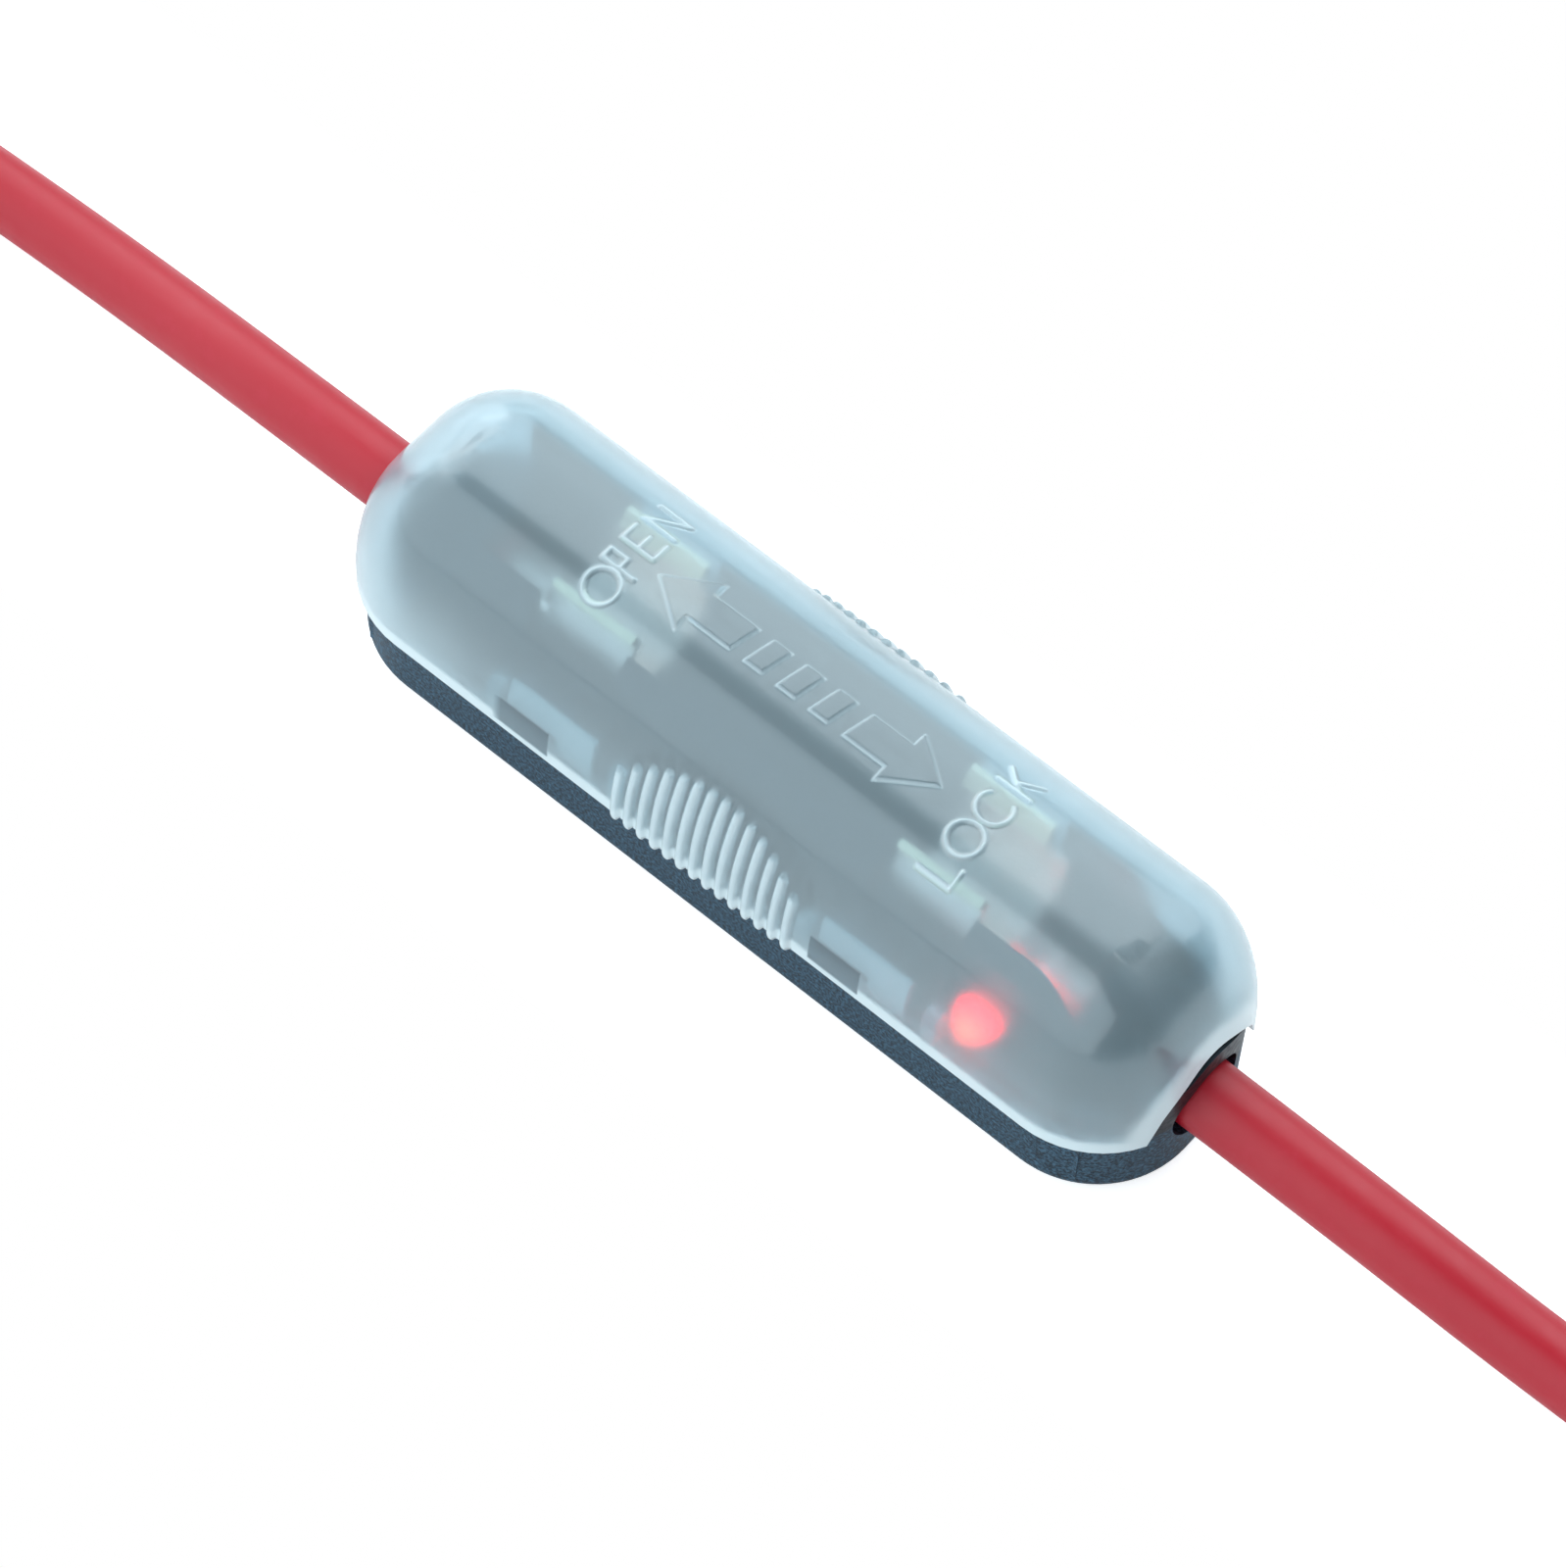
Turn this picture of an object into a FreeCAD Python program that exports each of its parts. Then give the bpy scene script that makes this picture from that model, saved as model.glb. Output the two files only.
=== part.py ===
import FreeCAD, Part
import math
import os
import re
import Sketcher

# In-line holder for one cartridge fuse, with a lamp that glows when the fuse has blown.
# Frame: millimetres, +X along the body towards the LOCK end, +Z up, origin at the middle of the
# underside that the holder rests on.

V = FreeCAD.Vector
X_AXIS = V(1, 0, 0)
Y_AXIS = V(0, 1, 0)
Z_AXIS = V(0, 0, 1)

doc = FreeCAD.newDocument("inline_fuse_holder")

# Driving dimensions. Those that start with = follow from others, piece by piece from the middle out.
SIZES = [
    ("fuse_diameter", 6.35, "cartridge fuse"),
    ("fuse_height", "=base_height + lamp_lift + seat_lift + clip_gauge + fuse_diameter / 2",
     "fuse axis above the underside"),
    ("clip_spacing", 26.0, "clips, middle to middle"),
    ("clip_width", 6.1, "clip along the fuse"),
    ("clip_gauge", 0.5, "sheet thickness of a clip"),
    ("clip_room", 0.225, "room beside a clip in the fuse channel"),
    ("clip_grip", 38.0, "degrees above the fuse axis where the clip's lips turn outwards"),
    ("lip_rise", 0.95, "height of a flared lip"),
    ("lip_flare", 0.42, "how far a flared lip leans out"),
    ("wing_length", 1.2, "lower part of a clip that reaches further out"),
    ("foot_width", 3.2, "flat foot of a clip, across the fuse"),
    ("neck_width", 2.0, "neck between clip and barrel"),
    ("neck_length", 1.3, "neck, along the body"),
    ("core_diameter", 2.5, "copper core of the lead"),
    ("lead_diameter", 4.6, "lead over its jacket"),
    ("fit_gap", 0.03, "radial room of a snug fit"),
    ("barrel_length", 3.4, "crimp barrel on the core"),
    ("barrel_diameter", "=core_diameter + 2 * fit_gap + 2 * clip_gauge", "crimp barrel, outside"),
    ("barrel_room", 1.05, "barrel to the cross wall"),
    ("core_start", 0.2, "end of the core inside its barrel"),
    ("jacket_start", 0.35, "end of the jacket from the barrel"),
    ("strip_length", 8.0, "bare core at a lead's far end"),
    ("bulkhead", 1.2, "cross wall between the carrier's walls and its collar"),
    ("collar_length", 6.5, "collar over the lead, from the cross wall to the end"),
    ("base_floor", 1.8, "floor of the tray"),
    ("base_height", 6.0, "tray, underside to parting line, which is also the height of the leads' axis"),
    ("base_wall", 1.6, "side wall of the tray"),
    ("base_edge", 1.4, "rounding of the tray's lower edge"),
    ("base_length", "=clip_spacing + clip_width + 2 * (wing_length + neck_length + barrel_length"
     " + barrel_room + bulkhead + collar_length)", "tray, end to end"),
    ("carrier_wall", 1.1, "one long wall of the carrier"),
    ("clip_bay", "=fuse_diameter + 2 * (clip_gauge + clip_room)", "channel that the clips need"),
    ("lamp_bay", "=barrel_diameter + 2 * (leg_room + 1.5 * wire_diameter + leg_run + lamp_flange_height)",
     "channel that the lamp and its legs need beside a barrel"),
    ("sleeve_bay", "=boss_diameter + wire_diameter + 2 * (sleeve_room + fit_gap + sleeve_wall"
     " + resistor_diameter / 2 + resistor_room)", "channel that the sleeve needs beside a boss"),
    ("bay_width", "=max(clip_bay; lamp_bay; sleeve_bay)", "fuse channel between those walls"),
    ("bay_floor", 1.2, "floor under the fuse channel"),
    ("floor_margin", 0.05, "that floor beyond the clips"),
    ("window_depth", 2.4, "how far below the fuse axis the clip windows reach"),
    ("window_room", 0.3, "room beside a clip in its window"),
    ("post_gap", 0.3, "carrier's wall to a lug's post"),
    ("lug_post", 0.95, "thickness of the post that carries a lug"),
    ("lug_reach", 0.7, "how far a lug hooks out of its post"),
    ("lug_length", 4.0, "lock lug along the body"),
    ("lug_height", 1.2, "height of a lug"),
    ("lug_spacing", 23.8, "lock lugs, one to the next along the body"),
    ("lug_offset", 2.1, "how far the pair of lugs sits towards the OPEN end"),
    ("lock_gap", 0.2, "room around a lug in its pocket"),
    ("ledge_height", 0.4, "lock ledge inside the cover"),
    ("stop_width", 1.0, "stop at each end of a lug's pocket"),
    ("cover_wall", 1.5, "thickness of the cover"),
    ("cover_side", 0.5, "cover beyond the tray at the sides"),
    ("cover_end", 0.3, "cover beyond the tray at the ends"),
    ("cover_width", "=bay_width + 2 * (carrier_wall + post_gap + lug_post + lug_reach + lock_gap"
     " + cover_wall)", "cover, side to side"),
    ("cover_length", "=base_length + 2 * cover_end", "cover, end to end"),
    ("base_width", "=cover_width - 2 * cover_side", "tray, side to side"),
    ("cover_corner", 7.0, "plan radius of the cover, and width of its curved flank"),
    ("corner_step", 0.1, "cover's plan radius over the tray's"),
    ("base_corner", "=cover_corner - corner_step", "plan radius of the tray's corners"),
    ("parting_gap", 0.2, "rim of the cover above the tray"),
    ("cover_skirt", 0.5, "straight part of the flank above the rim"),
    ("fuse_room", 0.825, "room between the fuse and the cover"),
    ("cover_top", "=fuse_height + fuse_diameter / 2 + fuse_room + cover_wall", "crown of the cover"),
    ("crown_rise", "=cover_top - base_height - parting_gap - cover_skirt", "height of the curved flank"),
    ("cover_travel", "=lug_length", "slide of the cover from locked to open"),
    ("slide_clearance", 0.3, "room between the cover and what it slides over"),
    ("rib_pitch", 1.0, "grip ribs, one to the next"),
    ("rib_width", 0.55, "one grip rib"),
    ("rib_height", 0.27, "how far a grip rib stands out"),
    ("grip_radius", 8.6, "arc that the grip ribs' upper ends follow"),
    ("grip_rise", 7.5, "height of the middle grip rib above the rim"),
    ("cable_room", 0.6, "room around the lead in an end wall"),
    ("cable_hole", "=lead_diameter + 2 * cable_room", "hole for the lead in an end wall"),
    ("collar_wall", 1.6, "thickness of the collar"),
    ("collar_radius", "=cable_hole / 2 + collar_wall", "outside of the collar"),
    ("notch_radius", "=collar_radius + slide_clearance", "arched notch in each end of the cover"),
    ("grip_rib", 2.0, "thickness of a rib that grips the lead"),
    ("grip_rib_inset", 4.4, "middle of that rib from the tray's end"),
    ("screw_place", 8.0, "assembly screws from the middle"),
    ("screw_core", 2.0, "shank of an assembly screw"),
    ("screw_head", 3.8, "head of an assembly screw"),
    ("screw_head_height", 1.3, "height of that head"),
    ("screw_room", 0.3, "room around a screw in the tray, and below its head"),
    ("screw_tip_room", 0.3, "room beyond a screw's tip, and hole's end to the fuse channel's floor"),
    ("screw_length", "=fuse_height - fuse_diameter / 2 - clip_gauge - bay_floor - screw_head_height"
     " - screw_room - 2 * screw_tip_room", "shank below the head"),
    ("boss_wall", 1.2, "wall around a screw"),
    ("boss_diameter", "=screw_core + 2 * boss_wall", "carrier boss that takes a screw"),
    ("pad_height", 1.2, "raised pad on the tray's floor under a boss"),
    ("lamp_diameter", 3.0, "lamp body"),
    ("lamp_flange", 3.8, "flange of the lamp"),
    ("lamp_flange_height", 1.0, "flange of the lamp, along its axis"),
    ("lamp_room", 0.1, "flange to the fuse channel's floor"),
    ("lamp_lift", 1.0, "lamp axis above the leads' axis"),
    ("seat_lift", 1.425, "underside of a clip above the lamp axis"),
    ("lamp_reach", "=carrier_wall + post_gap + lug_post", "lamp from its flange to its tip"),
    ("wire_diameter", 0.5, "legs of the lamp and of the resistor"),
    ("wire_pitch", 2.54, "legs of the lamp, one to the other"),
    ("leg_room", 0.27, "leg to the crimp barrel"),
    ("leg_run", 0.1, "straight leg between the lamp and its bend"),
    ("leg_gap", 0.75, "leg of the lamp beside the resistor wire, middle to middle"),
    ("resistor_length", 3.6, "body of the resistor"),
    ("resistor_diameter", 1.6, "body of the resistor"),
    ("resistor_room", 0.05, "resistor to the carrier's wall"),
    ("resistor_lift", 1.5, "resistor axis above the tray's floor"),
    ("sleeve_length", 11.0, "tube over the long resistor wire"),
    ("sleeve_wall", 0.3, "wall of that tube"),
    ("sleeve_room", 0.27, "that tube to a boss"),
    ("sleeve_place", 2.2, "gap between the resistor and that tube"),
    ("solder_radius", 0.62, "solder bead on a clip"),
    ("splice_radius", 0.85, "solder bead where a lamp leg meets a resistor wire"),
]

sheet = doc.addObject("Spreadsheet::Sheet", "Sizes")
OWNERS = {}
for row, (alias, value, meaning) in enumerate(SIZES, start=1):
    sheet.set("A%d" % row, meaning)
    sheet.set("B%d" % row, str(value))
    sheet.setAlias("B%d" % row, alias)
    OWNERS[alias] = "Sizes." + alias
doc.recompute()


def size(expression):
    """Value of an expression written with the sheet's names."""
    result = sheet.evalExpression(named(expression))
    return float(getattr(result, "Value", result))


def named(expression):
    """Puts the sheet's name before each size's name in an expression."""
    return re.sub(r"[a-z_]+", lambda word: OWNERS.get(word.group(), word.group()), expression)


def bind(thing, field, expression):
    thing.setExpression(field, named(expression))


# Sketch and feature helpers

def origin_plane(body, role):
    return [feature for feature in body.Origin.OriginFeatures if feature.Role == role][0]


def new_body(label):
    body = doc.addObject("PartDesign::Body", label)
    body.Label = label
    return body


def new_sketch(body, name, role, lift="0"):
    """Sketch on an origin plane of its body, lifted along the plane's normal."""
    sketch = body.newObject("Sketcher::SketchObject", name)
    sketch.AttachmentSupport = [(origin_plane(body, role), "")]
    sketch.MapMode = "FlatFace"
    if lift != "0":
        bind(sketch, "AttachmentOffset.Base.z", lift)
    return sketch


def dimension(sketch, kind, places, expression):
    """Adds a dimension to a sketch and ties it to an expression."""
    index = sketch.addConstraint(Sketcher.Constraint(kind, *places, size(expression)))
    sketch.setExpression("Constraints[%d]" % index, named(expression))


def rectangle(sketch, low_x, high_x, low_y, high_y):
    """Rectangle whose four sides are each set by an expression."""
    x0, x1, y0, y1 = [size(side) for side in (low_x, high_x, low_y, high_y)]
    corners = [V(x0, y0, 0), V(x1, y0, 0), V(x1, y1, 0), V(x0, y1, 0)]
    first = sketch.GeometryCount
    for k in range(4):
        sketch.addGeometry(Part.LineSegment(corners[k], corners[(k + 1) % 4]), False)
    for k in range(4):
        sketch.addConstraint(Sketcher.Constraint("Coincident", first + k, 2, first + (k + 1) % 4, 1))
    for k, kind in enumerate(("Horizontal", "Vertical", "Horizontal", "Vertical")):
        sketch.addConstraint(Sketcher.Constraint(kind, first + k))
    dimension(sketch, "DistanceX", (-1, 1, first, 1), low_x)
    dimension(sketch, "DistanceX", (-1, 1, first + 1, 1), high_x)
    dimension(sketch, "DistanceY", (-1, 1, first, 1), low_y)
    dimension(sketch, "DistanceY", (-1, 1, first + 2, 1), high_y)


def rounded_rectangle(sketch, length, width, radius):
    """Rectangle about the origin with equal arcs at its corners."""
    x, y, r = [size(value) for value in (length + " / 2", width + " / 2", radius)]
    lines = [
        Part.LineSegment(V(-x + r, -y, 0), V(x - r, -y, 0)),
        Part.LineSegment(V(x, -y + r, 0), V(x, y - r, 0)),
        Part.LineSegment(V(x - r, y, 0), V(-x + r, y, 0)),
        Part.LineSegment(V(-x, y - r, 0), V(-x, -y + r, 0)),
    ]
    centres = [V(x - r, -y + r, 0), V(x - r, y - r, 0), V(-x + r, y - r, 0), V(-x + r, -y + r, 0)]
    first = sketch.GeometryCount
    for k in range(4):
        sketch.addGeometry(lines[k], False)
        turn = Part.Circle(centres[k], Z_AXIS, r)
        start = math.radians(270 + 90 * k)
        sketch.addGeometry(Part.ArcOfCircle(turn, start, start + math.pi / 2), False)
    for k in range(8):
        sketch.addConstraint(Sketcher.Constraint("Tangent", first + k, 2, first + (k + 1) % 8, 1))
    for k, kind in enumerate(("Horizontal", "Vertical", "Horizontal", "Vertical")):
        sketch.addConstraint(Sketcher.Constraint(kind, first + 2 * k))
    for k in (3, 5, 7):
        sketch.addConstraint(Sketcher.Constraint("Equal", first + 1, first + k))
    dimension(sketch, "Radius", (first + 1,), radius)
    dimension(sketch, "DistanceX", (-1, 1, first + 2, 1), length + " / 2")
    dimension(sketch, "DistanceX", (-1, 1, first + 6, 1), "-" + length + " / 2")
    dimension(sketch, "DistanceY", (-1, 1, first, 1), "-" + width + " / 2")
    dimension(sketch, "DistanceY", (-1, 1, first + 4, 1), width + " / 2")


def circle(sketch, place_x, place_y, diameter):
    index = sketch.addGeometry(Part.Circle(V(size(place_x), size(place_y), 0), Z_AXIS, size(diameter) / 2))
    dimension(sketch, "DistanceX", (-1, 1, index, 3), place_x)
    dimension(sketch, "DistanceY", (-1, 1, index, 3), place_y)
    dimension(sketch, "Diameter", (index,), diameter)


def pad(body, sketch, name, length):
    feature = body.newObject("PartDesign::Pad", name)
    feature.Profile = sketch
    bind(feature, "Length", length)
    doc.recompute()
    return feature


def pocket(body, sketch, name, depth, reverse=False, both_ways=False):
    """Pocket that has to take material away: a wrong direction would cut nothing."""
    before = body.Shape.Volume
    feature = body.newObject("PartDesign::Pocket", name)
    feature.Profile = sketch
    bind(feature, "Length", depth)
    feature.Reversed = reverse
    if both_ways:
        feature.SideType = "Symmetric"
    doc.recompute()
    if body.Shape.Volume >= before - 1e-6:
        raise RuntimeError(name + " cuts nothing")
    return feature


def round_edges(body, base, name, radius, wanted):
    """Fillet of every edge of the base feature for which wanted(edge) is true."""
    edges = ["Edge%d" % (k + 1) for k, edge in enumerate(base.Shape.Edges) if wanted(edge)]
    feature = body.newObject("PartDesign::Fillet", name)
    feature.Base = (base, edges)
    bind(feature, "Radius", radius)
    doc.recompute()
    return feature


def upright(edge):
    """True for a straight edge along Z."""
    if len(edge.Vertexes) != 2 or edge.Curve.TypeId != "Part::GeomLine":
        return False
    return abs(edge.Curve.Direction.z) > 0.99


def at_height(edge, height):
    box = edge.BoundBox
    return abs(box.ZMin - height) < 1e-4 and abs(box.ZMax - height) < 1e-4


# Solids that sketches and pads don't fit. Every size and place is an expression of the sheet.

def box(label, x0, x1, y0, y1, z0, z1):
    thing = doc.addObject("Part::Box", label)
    for field, low, high in (("Length", x0, x1), ("Width", y0, y1), ("Height", z0, z1)):
        bind(thing, field, "( %s ) - ( %s )" % (high, low))
    for field, low in (("x", x0), ("y", y0), ("z", z0)):
        bind(thing, "Placement.Base." + field, low)
    return thing


AXIS_TURNS = {
    "X": FreeCAD.Rotation(Y_AXIS, 90),
    "Y": FreeCAD.Rotation(X_AXIS, -90),
    "Z": FreeCAD.Rotation(Z_AXIS, 0),
}


def cylinder(label, axis, x, y, z, diameter, length):
    """Cylinder that starts at x, y, z and runs along the positive axis."""
    thing = doc.addObject("Part::Cylinder", label)
    thing.Placement = FreeCAD.Placement(V(0, 0, 0), AXIS_TURNS[axis])
    bind(thing, "Radius", "( %s ) / 2" % diameter)
    bind(thing, "Height", length)
    for field, place in (("x", x), ("y", y), ("z", z)):
        bind(thing, "Placement.Base." + field, place)
    return thing


def ball(label, x, y, z, radius):
    thing = doc.addObject("Part::Sphere", label)
    bind(thing, "Radius", radius)
    for field, place in (("x", x), ("y", y), ("z", z)):
        bind(thing, "Placement.Base." + field, place)
    return thing


def joined(label, things):
    if len(things) == 1:
        return things[0]
    thing = doc.addObject("Part::MultiFuse", label)
    thing.Shapes = things
    thing.Refine = True
    return thing


def cut_from(label, base_thing, tools):
    thing = doc.addObject("Part::Cut", label)
    thing.Base = base_thing
    thing.Tool = joined(label + "_tools", tools)
    thing.Refine = True
    return thing


def inside(label, things):
    thing = doc.addObject("Part::MultiCommon", label)
    thing.Shapes = things
    thing.Refine = True
    return thing


def mirror_of(label, source, normal):
    thing = doc.addObject("Part::Mirroring", label)
    thing.Source = source
    thing.Normal = normal
    return thing


def feature(label, shape):
    thing = doc.addObject("Part::Feature", label)
    thing.Shape = shape
    return thing


# Round wires and jackets: straight runs joined by bends that touch both runs

def disc(centre, direction, outer, inner):
    face = Part.Face(Part.Wire([Part.makeCircle(outer, centre, direction)]))
    if inner > 0:
        face = face.cut(Part.Face(Part.Wire([Part.makeCircle(inner, centre, direction)])))
    return face


def sweep(label, points, reaches, outer, inner=0.0):
    """Round solid along a route. Each reach is the distance from a corner to where its bend starts."""
    solids = []
    radii = []
    length = 0.0
    start = points[0]
    for k, reach in enumerate(reaches, start=1):
        into = points[k].sub(points[k - 1]).normalize()
        out = points[k + 1].sub(points[k]).normalize()
        turn = into.getAngle(out)
        radius = reach / math.tan(turn / 2)
        first = points[k].sub(into * reach)
        axis = into.cross(out).normalize()
        centre = first.add(axis.cross(into) * radius)
        solids.append(disc(start, into, outer, inner).extrude(first.sub(start)))
        solids.append(disc(first, into, outer, inner).revolve(centre, axis, math.degrees(turn)))
        length += first.sub(start).Length + radius * turn
        radii.append(radius)
        start = points[k].add(out * reach)
    last = points[-1].sub(start)
    solids.append(disc(start, V(last).normalize(), outer, inner).extrude(last))
    length += last.Length
    shape = solids[0].fuse(solids[1:])
    section = math.pi * (outer ** 2 - inner ** 2)
    print("%s: length %.1f, bend radii %s" % (label, length, ["%.1f" % r for r in radii]))
    print("%s: volume %.2f, section times length %.2f" % (label, shape.Volume, section * length))
    return feature(label, shape)


def cord_reaches(points):
    """A flexible lead takes 45 % of the shorter run at each corner for its bend."""
    reaches = []
    for k in range(1, len(points) - 1):
        runs = (points[k].sub(points[k - 1]).Length, points[k + 1].sub(points[k]).Length)
        reaches.append(0.45 * min(runs))
    return reaches


def wire(label, points):
    """Stiff wire of a lamp or resistor, bent on its own diameter."""
    reaches = []
    for k in range(1, len(points) - 1):
        turn = points[k].sub(points[k - 1]).getAngle(points[k + 1].sub(points[k]))
        reaches.append(size("wire_diameter") * math.tan(turn / 2))
    return sweep(label, points, reaches, size("wire_diameter") / 2)


# Places that several pieces share, as expressions
AXIS = "base_height"
RIM = "( base_height + parting_gap )"
CROWN_START = "( base_height + parting_gap + cover_skirt )"
SKIRT_INNER = "( cover_width / 2 - cover_wall )"
LUG_TIP = "( cover_width / 2 - cover_wall - lock_gap )"
LUG_POST_OUTER = "( cover_width / 2 - cover_wall - lock_gap - lug_reach )"
LUG_POST_INNER = "( cover_width / 2 - cover_wall - lock_gap - lug_reach - lug_post )"
LUG_LOW = "( base_height + parting_gap + ledge_height + lock_gap )"
LUG_PLACES = {
    "open": "( -lug_spacing / 2 - lug_offset )",
    "lock": "( lug_spacing / 2 - lug_offset )",
}
BAY_INNER = "( bay_width / 2 )"
BAY_OUTER = "( bay_width / 2 + carrier_wall )"
SEAT = "( fuse_height - fuse_diameter / 2 - clip_gauge )"
CLIP_START = "( clip_spacing / 2 - clip_width / 2 )"
WING_END = "( clip_spacing / 2 + clip_width / 2 + wing_length )"
BARREL_START = "( clip_spacing / 2 + clip_width / 2 + wing_length + neck_length )"
BARREL_BORE = "( core_diameter + 2 * fit_gap )"
BARREL_OUTER = "barrel_diameter"
CARRIER_END = "( base_length / 2 - collar_length )"
RIB_PLACE = "( base_length / 2 - grip_rib_inset )"
LAMP_PLACE = "( clip_spacing / 2 + clip_width / 2 + floor_margin + lamp_room + lamp_flange / 2 )"
LAMP_HEIGHT = "( base_height + lamp_lift )"
RESISTOR_SIDE = "( bay_width / 2 - resistor_diameter / 2 - resistor_room )"
RESISTOR_HEIGHT = "( base_floor + resistor_lift )"
JACKET_BORE = "( lead_diameter + 2 * fit_gap )"
SCREW_SEAT = "( screw_head_height + screw_room )"
CROWN = "( base_height + parting_gap + cover_skirt + crown_rise )"


# base_shell: tray with saddles for the leads, pads for the screws and four lock lugs

def make_base():
    body = new_body("tray")
    outline = new_sketch(body, "base_outline", "XY_Plane")
    rectangle(outline, "-base_length / 2", "base_length / 2", "-base_width / 2", "base_width / 2")
    slab = pad(body, outline, "base_slab", "base_height")
    corners = round_edges(body, slab, "base_corners", "base_corner", upright)
    round_edges(body, corners, "base_lower_edge", "base_edge", lambda edge: at_height(edge, 0.0))

    hollow = new_sketch(body, "base_hollow_outline", "XY_Plane", "base_height")
    inner_length = "( base_length - 2 * base_wall )"
    inner_width = "( base_width - 2 * base_wall )"
    rounded_rectangle(hollow, inner_length, inner_width, "base_corner - base_wall")
    pocket(body, hollow, "base_hollow", "base_height - base_floor")

    ribs = new_sketch(body, "lead_rib_outline", "XY_Plane", "base_floor")
    for side in ("-1", "1"):
        rectangle(
            ribs,
            side + " * %s - grip_rib / 2" % RIB_PLACE,
            side + " * %s + grip_rib / 2" % RIB_PLACE,
            "-base_width / 2 + base_wall / 2",
            "base_width / 2 - base_wall / 2",
        )
    pad(body, ribs, "lead_ribs", "base_height - base_floor")

    groove = new_sketch(body, "lead_groove_outline", "YZ_Plane")
    circle(groove, "0", "base_height", "lead_diameter + 2 * fit_gap")
    pocket(body, groove, "lead_grooves", "base_length + 2", both_ways=True)
    for side, name in ((1, "lock"), (-1, "open")):
        lift = "%d * ( base_length / 2 + 1 )" % side
        mouth = new_sketch(body, "cable_hole_outline_" + name, "YZ_Plane", lift)
        circle(mouth, "0", "base_height", "cable_hole")
        depth = "grip_rib_inset - grip_rib / 2 + 1"
        pocket(body, mouth, "cable_hole_" + name, depth, reverse=side < 0)

    pads = new_sketch(body, "screw_pad_outline", "XY_Plane", "base_floor")
    for side in ("-1", "1"):
        circle(pads, side + " * screw_place", "0", "boss_diameter")
    pad(body, pads, "screw_pads", "pad_height")

    heads = new_sketch(body, "screw_head_outline", "XY_Plane")
    shanks = new_sketch(body, "screw_hole_outline", "XY_Plane")
    for side in ("-1", "1"):
        circle(heads, side + " * screw_place", "0", "screw_head + screw_room")
        circle(shanks, side + " * screw_place", "0", "screw_core + screw_room")
    pocket(body, heads, "screw_head_recesses", "screw_head_height + screw_room", reverse=True)
    pocket(body, shanks, "screw_holes", "base_floor + pad_height + 1", reverse=True)
    return body


def make_lugs():
    """Four posts that rise from the tray, each with a hook that faces outwards."""
    lugs = []
    top = LUG_LOW + " + lug_height"
    for name, place in LUG_PLACES.items():
        x0 = place + " - lug_length / 2"
        x1 = place + " + lug_length / 2"
        wall = "base_width / 2 - base_wall / 2"
        near = [
            box("lug_foot_" + name, x0, x1, LUG_POST_INNER, wall, "base_floor", "base_height"),
            box("lug_post_" + name, x0, x1, LUG_POST_INNER, LUG_POST_OUTER, "base_floor", top),
            box("lug_hook_" + name, x0, x1, LUG_POST_OUTER, LUG_TIP, LUG_LOW, top),
        ]
        lug = joined("lug_" + name, near)
        lugs += [lug, mirror_of("lug_" + name + "_near_side", lug, Y_AXIS)]
    return lugs


base_shell = joined("base_shell", [make_base()] + make_lugs())


# cover: domed shell, revolved at its four corners and extruded between them

def dome(label, inset, low, shift="0"):
    """Solid of the cover's form, drawn in by inset, from height low up to its crown."""
    corner = size("cover_corner - ( %s )" % inset)
    rise = size("crown_rise - ( %s )" % inset)
    along = size("cover_length / 2 - cover_corner")
    across = size("cover_width / 2 - cover_corner")
    start = size(CROWN_START)
    foot = size(low)
    top = start + rise
    ellipse = Part.Ellipse(V(0, 0, top), V(corner, 0, start), V(0, 0, start))
    edges = [
        Part.LineSegment(V(0, 0, foot), V(corner, 0, foot)).toShape(),
        Part.LineSegment(V(corner, 0, foot), V(corner, 0, start)).toShape(),
        Part.ArcOfEllipse(ellipse, 0, math.pi / 2).toShape(),
        Part.LineSegment(V(0, 0, top), V(0, 0, foot)).toShape(),
    ]
    profile = Part.Face(Part.Wire(Part.__sortEdges__(edges)))
    solids = [Part.makeBox(2 * along, 2 * across, top - foot, V(-along, -across, foot))]
    corners = (
        (V(along, across, 0), 0, V(0, -2 * across, 0)),
        (V(-along, across, 0), 90, V(2 * along, 0, 0)),
        (V(-along, -across, 0), 180, V(0, 2 * across, 0)),
        (V(along, -across, 0), 270, V(-2 * along, 0, 0)),
    )
    for place, turn, run in corners:
        quarter = profile.copy()
        quarter.rotate(V(0, 0, 0), Z_AXIS, turn)
        quarter.translate(place)
        solids.append(quarter.revolve(place, Z_AXIS, 90))
        solids.append(quarter.extrude(run))
    thing = feature(label, solids[0].fuse(solids[1:]).removeSplitter())
    thing.Placement = FreeCAD.Placement(V(size(shift), 0, 0), FreeCAD.Rotation())
    return thing


def grip_ribs():
    """Upright ribs on both flanks; an arc trims their upper ends."""
    form = dome("grip_form", "-rib_height", RIM)
    slats = []
    for k in range(GRIP_RIBS):
        place = "( %.1f * rib_pitch )" % (k - (GRIP_RIBS - 1) / 2)
        x0 = place + " - rib_width / 2"
        x1 = place + " + rib_width / 2"
        slats.append(box("slat_%02d" % (k + 1), x0, x1, "-cover_width", "cover_width", RIM, CROWN))
    rack = joined("slats", slats)
    centre = RIM + " + grip_rise - grip_radius"
    arc = cylinder("grip_arc", "Y", "0", "-cover_width", centre, "2 * grip_radius", "2 * cover_width")
    return inside("grip_ribs", [form, rack, arc])


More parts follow.
